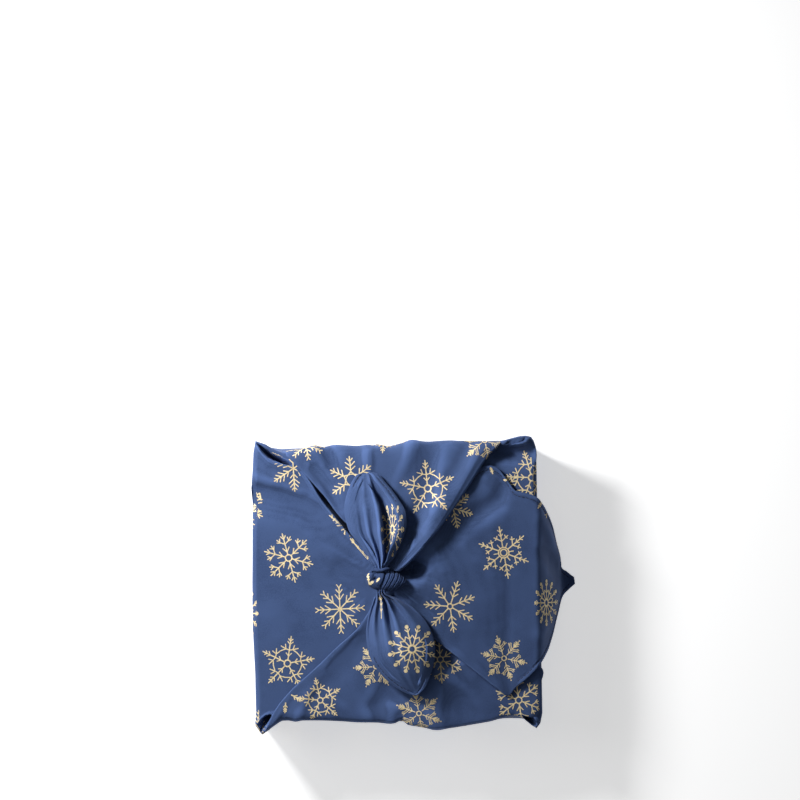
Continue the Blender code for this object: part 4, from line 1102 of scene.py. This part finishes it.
def stitched(piece, name):
    """A row of stitches along a piece's hems."""
    drape = piece.drape
    points, faces = [], []
    for side, start_at in enumerate(drape.hems):
        rows = np.flatnonzero((drape.progress[:, 0] >= start_at) & (drape.width[:, 0] >= 3 * HEM))
        if len(rows) < 4:
            continue
        share = HEM / drape.width[rows]
        share = 1 - share if side else share
        line = drape.left[rows, 0] + (drape.right[rows, 0] - drape.left[rows, 0]) * share
        ways = drape.outward[rows, 0]
        far = np.concatenate([[0.0], np.cumsum(np.linalg.norm(np.diff(line, axis=0), axis=1))])
        for begin in np.arange(1.0, far[-1] - 3.0, STITCH_PITCH):
            places = begin + np.linspace(0, STITCH_LONG, 4)
            centre = np.stack([np.interp(places, far, line[:, k]) for k in range(3)], axis=1)
            out = unit(np.stack([np.interp(places, far, ways[:, k]) for k in range(3)], axis=1))
            ahead = unit(np.gradient(centre, axis=0))
            beside = unit(np.cross(ahead, out))
            first = len(points)
            for k in range(4):
                for offset in (-STITCH_HALF, 0.0, STITCH_HALF):
                    start = Vector(centre[k] + beside[k] * offset + out[k] * RAY_START / 2)
                    place = piece.tree.ray_cast(start, Vector(-out[k]))[0]
                    high = STITCH_HIGH if offset == 0.0 else STITCH_BRIM
                    high *= 1.0 if k in (1, 2) else 0.5
                    place = Vector(centre[k]) if place is None else place
                    points.append(tuple(place + Vector(out[k]) * high))
            faces += [tuple(first + i for i in face) for face in quads(4, 3)]
    return Piece(name, points, faces)


def start_material(name, **values):
    """A material, with the values on its shader, and a function that adds a node to it."""
    material = bpy.data.materials.new(name)
    material.use_nodes = True
    tree = material.node_tree

    def fill(node, inputs):
        for key, value in inputs.items():
            if isinstance(value, bpy.types.NodeSocket):
                tree.links.new(value, node.inputs[key])
            else:
                node.inputs[key].default_value = value

    def add(kind, inputs, **settings):
        node = tree.nodes.new("ShaderNode" + kind)
        for key, value in settings.items():
            setattr(node, key, value)
        fill(node, inputs)
        return node

    shader = tree.nodes["Principled BSDF"]
    fill(shader, {key.replace("_", " "): value for key, value in values.items()})
    return material, shader, add, tree.links.new


def set_stops(ramp, *stops):
    for element, (position, colour) in zip(ramp.color_ramp.elements, stops):
        element.position = position
        element.color = (*colour, 1.0)


def cotton(name, dark, light):
    """Woven cotton: fine threads both ways, patches of uneven dye, and paler crease ridges, partly wear and
    partly a painted highlight.
    """
    material, shader, add, link = start_material(
        name, Roughness=0.85, Specular_IOR_Level=0.15, Sheen_Weight=0.12, Sheen_Roughness=0.45,
        Sheen_Tint=(0.6, 0.7, 1.0, 1.0))
    place = add("TexCoord", {}).outputs["Object"]
    patches = add("TexNoise", {"Vector": place, "Scale": 28.0, "Detail": 5.0})
    threads = add("TexNoise", {"Vector": place, "Scale": 1100.0, "Detail": 2.0})
    weave = [
        add("TexWave", {"Vector": place, "Scale": 320.0, "Distortion": 0.6}, bands_direction=direction)
        for direction in ("X", "Y", "Z")
    ]
    both = add("Math", {0: weave[0].outputs["Fac"], 1: weave[1].outputs["Fac"]}, operation="ADD")
    three = add("Math", {0: both.outputs[0], 1: weave[2].outputs["Fac"]}, operation="ADD")
    uneven = add("Math", {0: three.outputs[0], 1: 0.22, 2: threads.outputs["Fac"]}, operation="MULTIPLY_ADD")
    mixed = add("Math", {0: uneven.outputs[0], 1: 0.55, 2: patches.outputs["Fac"]}, operation="MULTIPLY_ADD")
    ramp = add("ValToRGB", {"Fac": mixed.outputs[0]})
    set_stops(ramp, (0.55, dark), (1.0, light))
    # Painted highlight, partly wear: crease tops are mixed towards a paler navy by how far they stand above
    # the cloth round them.
    wear_and_highlight = add("Attribute", {}, attribute_name="wear_and_highlight")
    pale = add("MapRange", {
        "Value": wear_and_highlight.outputs["Fac"], "From Min": 0.02, "From Max": 0.5, "To Max": 0.5,
    })
    fade = add("Mix", {0: pale.outputs["Result"]}, data_type="RGBA")
    below, above = (socket for socket in fade.inputs if socket.type == "RGBA")
    above.default_value = (*[min(1.0, 1.9 * c) for c in light], 1.0)
    link(ramp.outputs["Color"], below)
    link(next(socket for socket in fade.outputs if socket.type == "RGBA"), shader.inputs["Base Color"])
    bump = add("Bump", {"Height": uneven.outputs[0], "Strength": 0.5, "Distance": 0.00012})
    link(bump.outputs["Normal"], shader.inputs["Normal"])
    return material


def gold_foil():
    """Matt gold ink, a little thin where the threads stand up."""
    material, shader, add, link = start_material("gold_print", Roughness=0.62, Specular_IOR_Level=0.3)
    place = add("TexCoord", {}).outputs["Object"]
    grain = add("TexNoise", {"Vector": place, "Scale": 900.0, "Detail": 3.0})
    ramp = add("ValToRGB", {"Fac": grain.outputs["Fac"]})
    set_stops(ramp, (0.25, (0.62, 0.48, 0.25)), (0.62, (0.95, 0.80, 0.50)))
    link(ramp.outputs["Color"], shader.inputs["Base Color"])
    return material


def plain_material(name, colour):
    material, shader, _, _ = start_material(name, Base_Color=(*colour, 1.0), Roughness=0.8)
    return material, shader


# Soft lights: name, place in metres, size, power
LIGHTS = (
    ("key", (-0.55, 0.48, 0.45), 0.18, 9.4),
    ("side", (-0.75, 0.15, 0.60), 0.5, 1.6),
    ("fill", (-0.3, -0.2, 2.4), 1.2, 1.5),
)
CAMERA_PLACE = (0.00317, 0.1667, 8.055)


def area_light(name, place, size, power):
    light = bpy.data.lights.new(name, "AREA")
    light.size = size
    light.energy = power
    holder = put(name, light)
    holder.location = place
    holder.rotation_euler = (Vector((0, 0, 0.05)) - Vector(place)).to_track_quat("-Z", "Y").to_euler()
    holder.visible_camera = False


def make_studio():
    """The floor, the lights and the camera, in metres."""
    half = 6.0
    corners = [(-half, -half, 0), (half, -half, 0), (half, half, 0), (-half, half, 0)]
    mesh = bpy.data.meshes.new("floor")
    mesh.from_pydata(corners, [], [(0, 1, 2, 3)])
    floor = put("floor", mesh)
    pale, glow = plain_material("pale_floor", (0.93, 0.93, 0.93))
    glow.inputs["Emission Color"].default_value = (1.0, 1.0, 1.0, 1.0)
    glow.inputs["Emission Strength"].default_value = 0.55
    floor.data.materials.append(pale)
    world = bpy.data.worlds.new("studio")
    world.use_nodes = True
    sky = world.node_tree.nodes["Background"]
    sky.inputs["Color"].default_value = (0.93, 0.96, 1.0, 1.0)
    sky.inputs["Strength"].default_value = 0.08
    bpy.context.scene.world = world
    for light in LIGHTS:
        area_light(*light)
    camera = bpy.data.cameras.new("camera")
    camera.lens = 400.0
    camera.sensor_width = 36.0
    camera.clip_end = 50.0
    holder = put("camera", camera)
    holder.location = CAMERA_PLACE
    bpy.context.scene.camera = holder
    bpy.context.scene.view_settings.view_transform = "Standard"


def main():
    pieces = {"body_cloth": make_body()}
    pieces["body_cloth"].solidify()
    pieces.update(make_layers())
    pieces.update(make_knot())
    navy = cotton("navy_cotton", (0.034, 0.060, 0.146), (0.058, 0.098, 0.225))
    gold = gold_foil()
    thread, _ = plain_material("navy_thread", (0.016, 0.024, 0.06))
    prints = make_prints(pieces)
    hemmed = ("flap", "upper_tail", "lower_tail")
    seams = [(pieces[name], stitched(pieces[name], "stitches_" + name)) for name in hemmed]
    # Painted shade: the knot's pieces get a darker copy of the same cotton, for the shade in its deep folds.
    knot_painted_shade = cotton("navy_cotton_painted_shade", (0.022, 0.040, 0.104), (0.038, 0.066, 0.160))
    finishes = [(piece, knot_painted_shade if name.startswith("knot") else navy) for name, piece in pieces.items()]
    finishes += [(piece, gold) for _, piece in prints] + [(piece, thread) for _, piece in seams]
    for piece, material in finishes:
        piece.object.data.materials.append(material)
        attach(piece.object, "root")
        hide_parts("wrap")
    make_studio()


main()
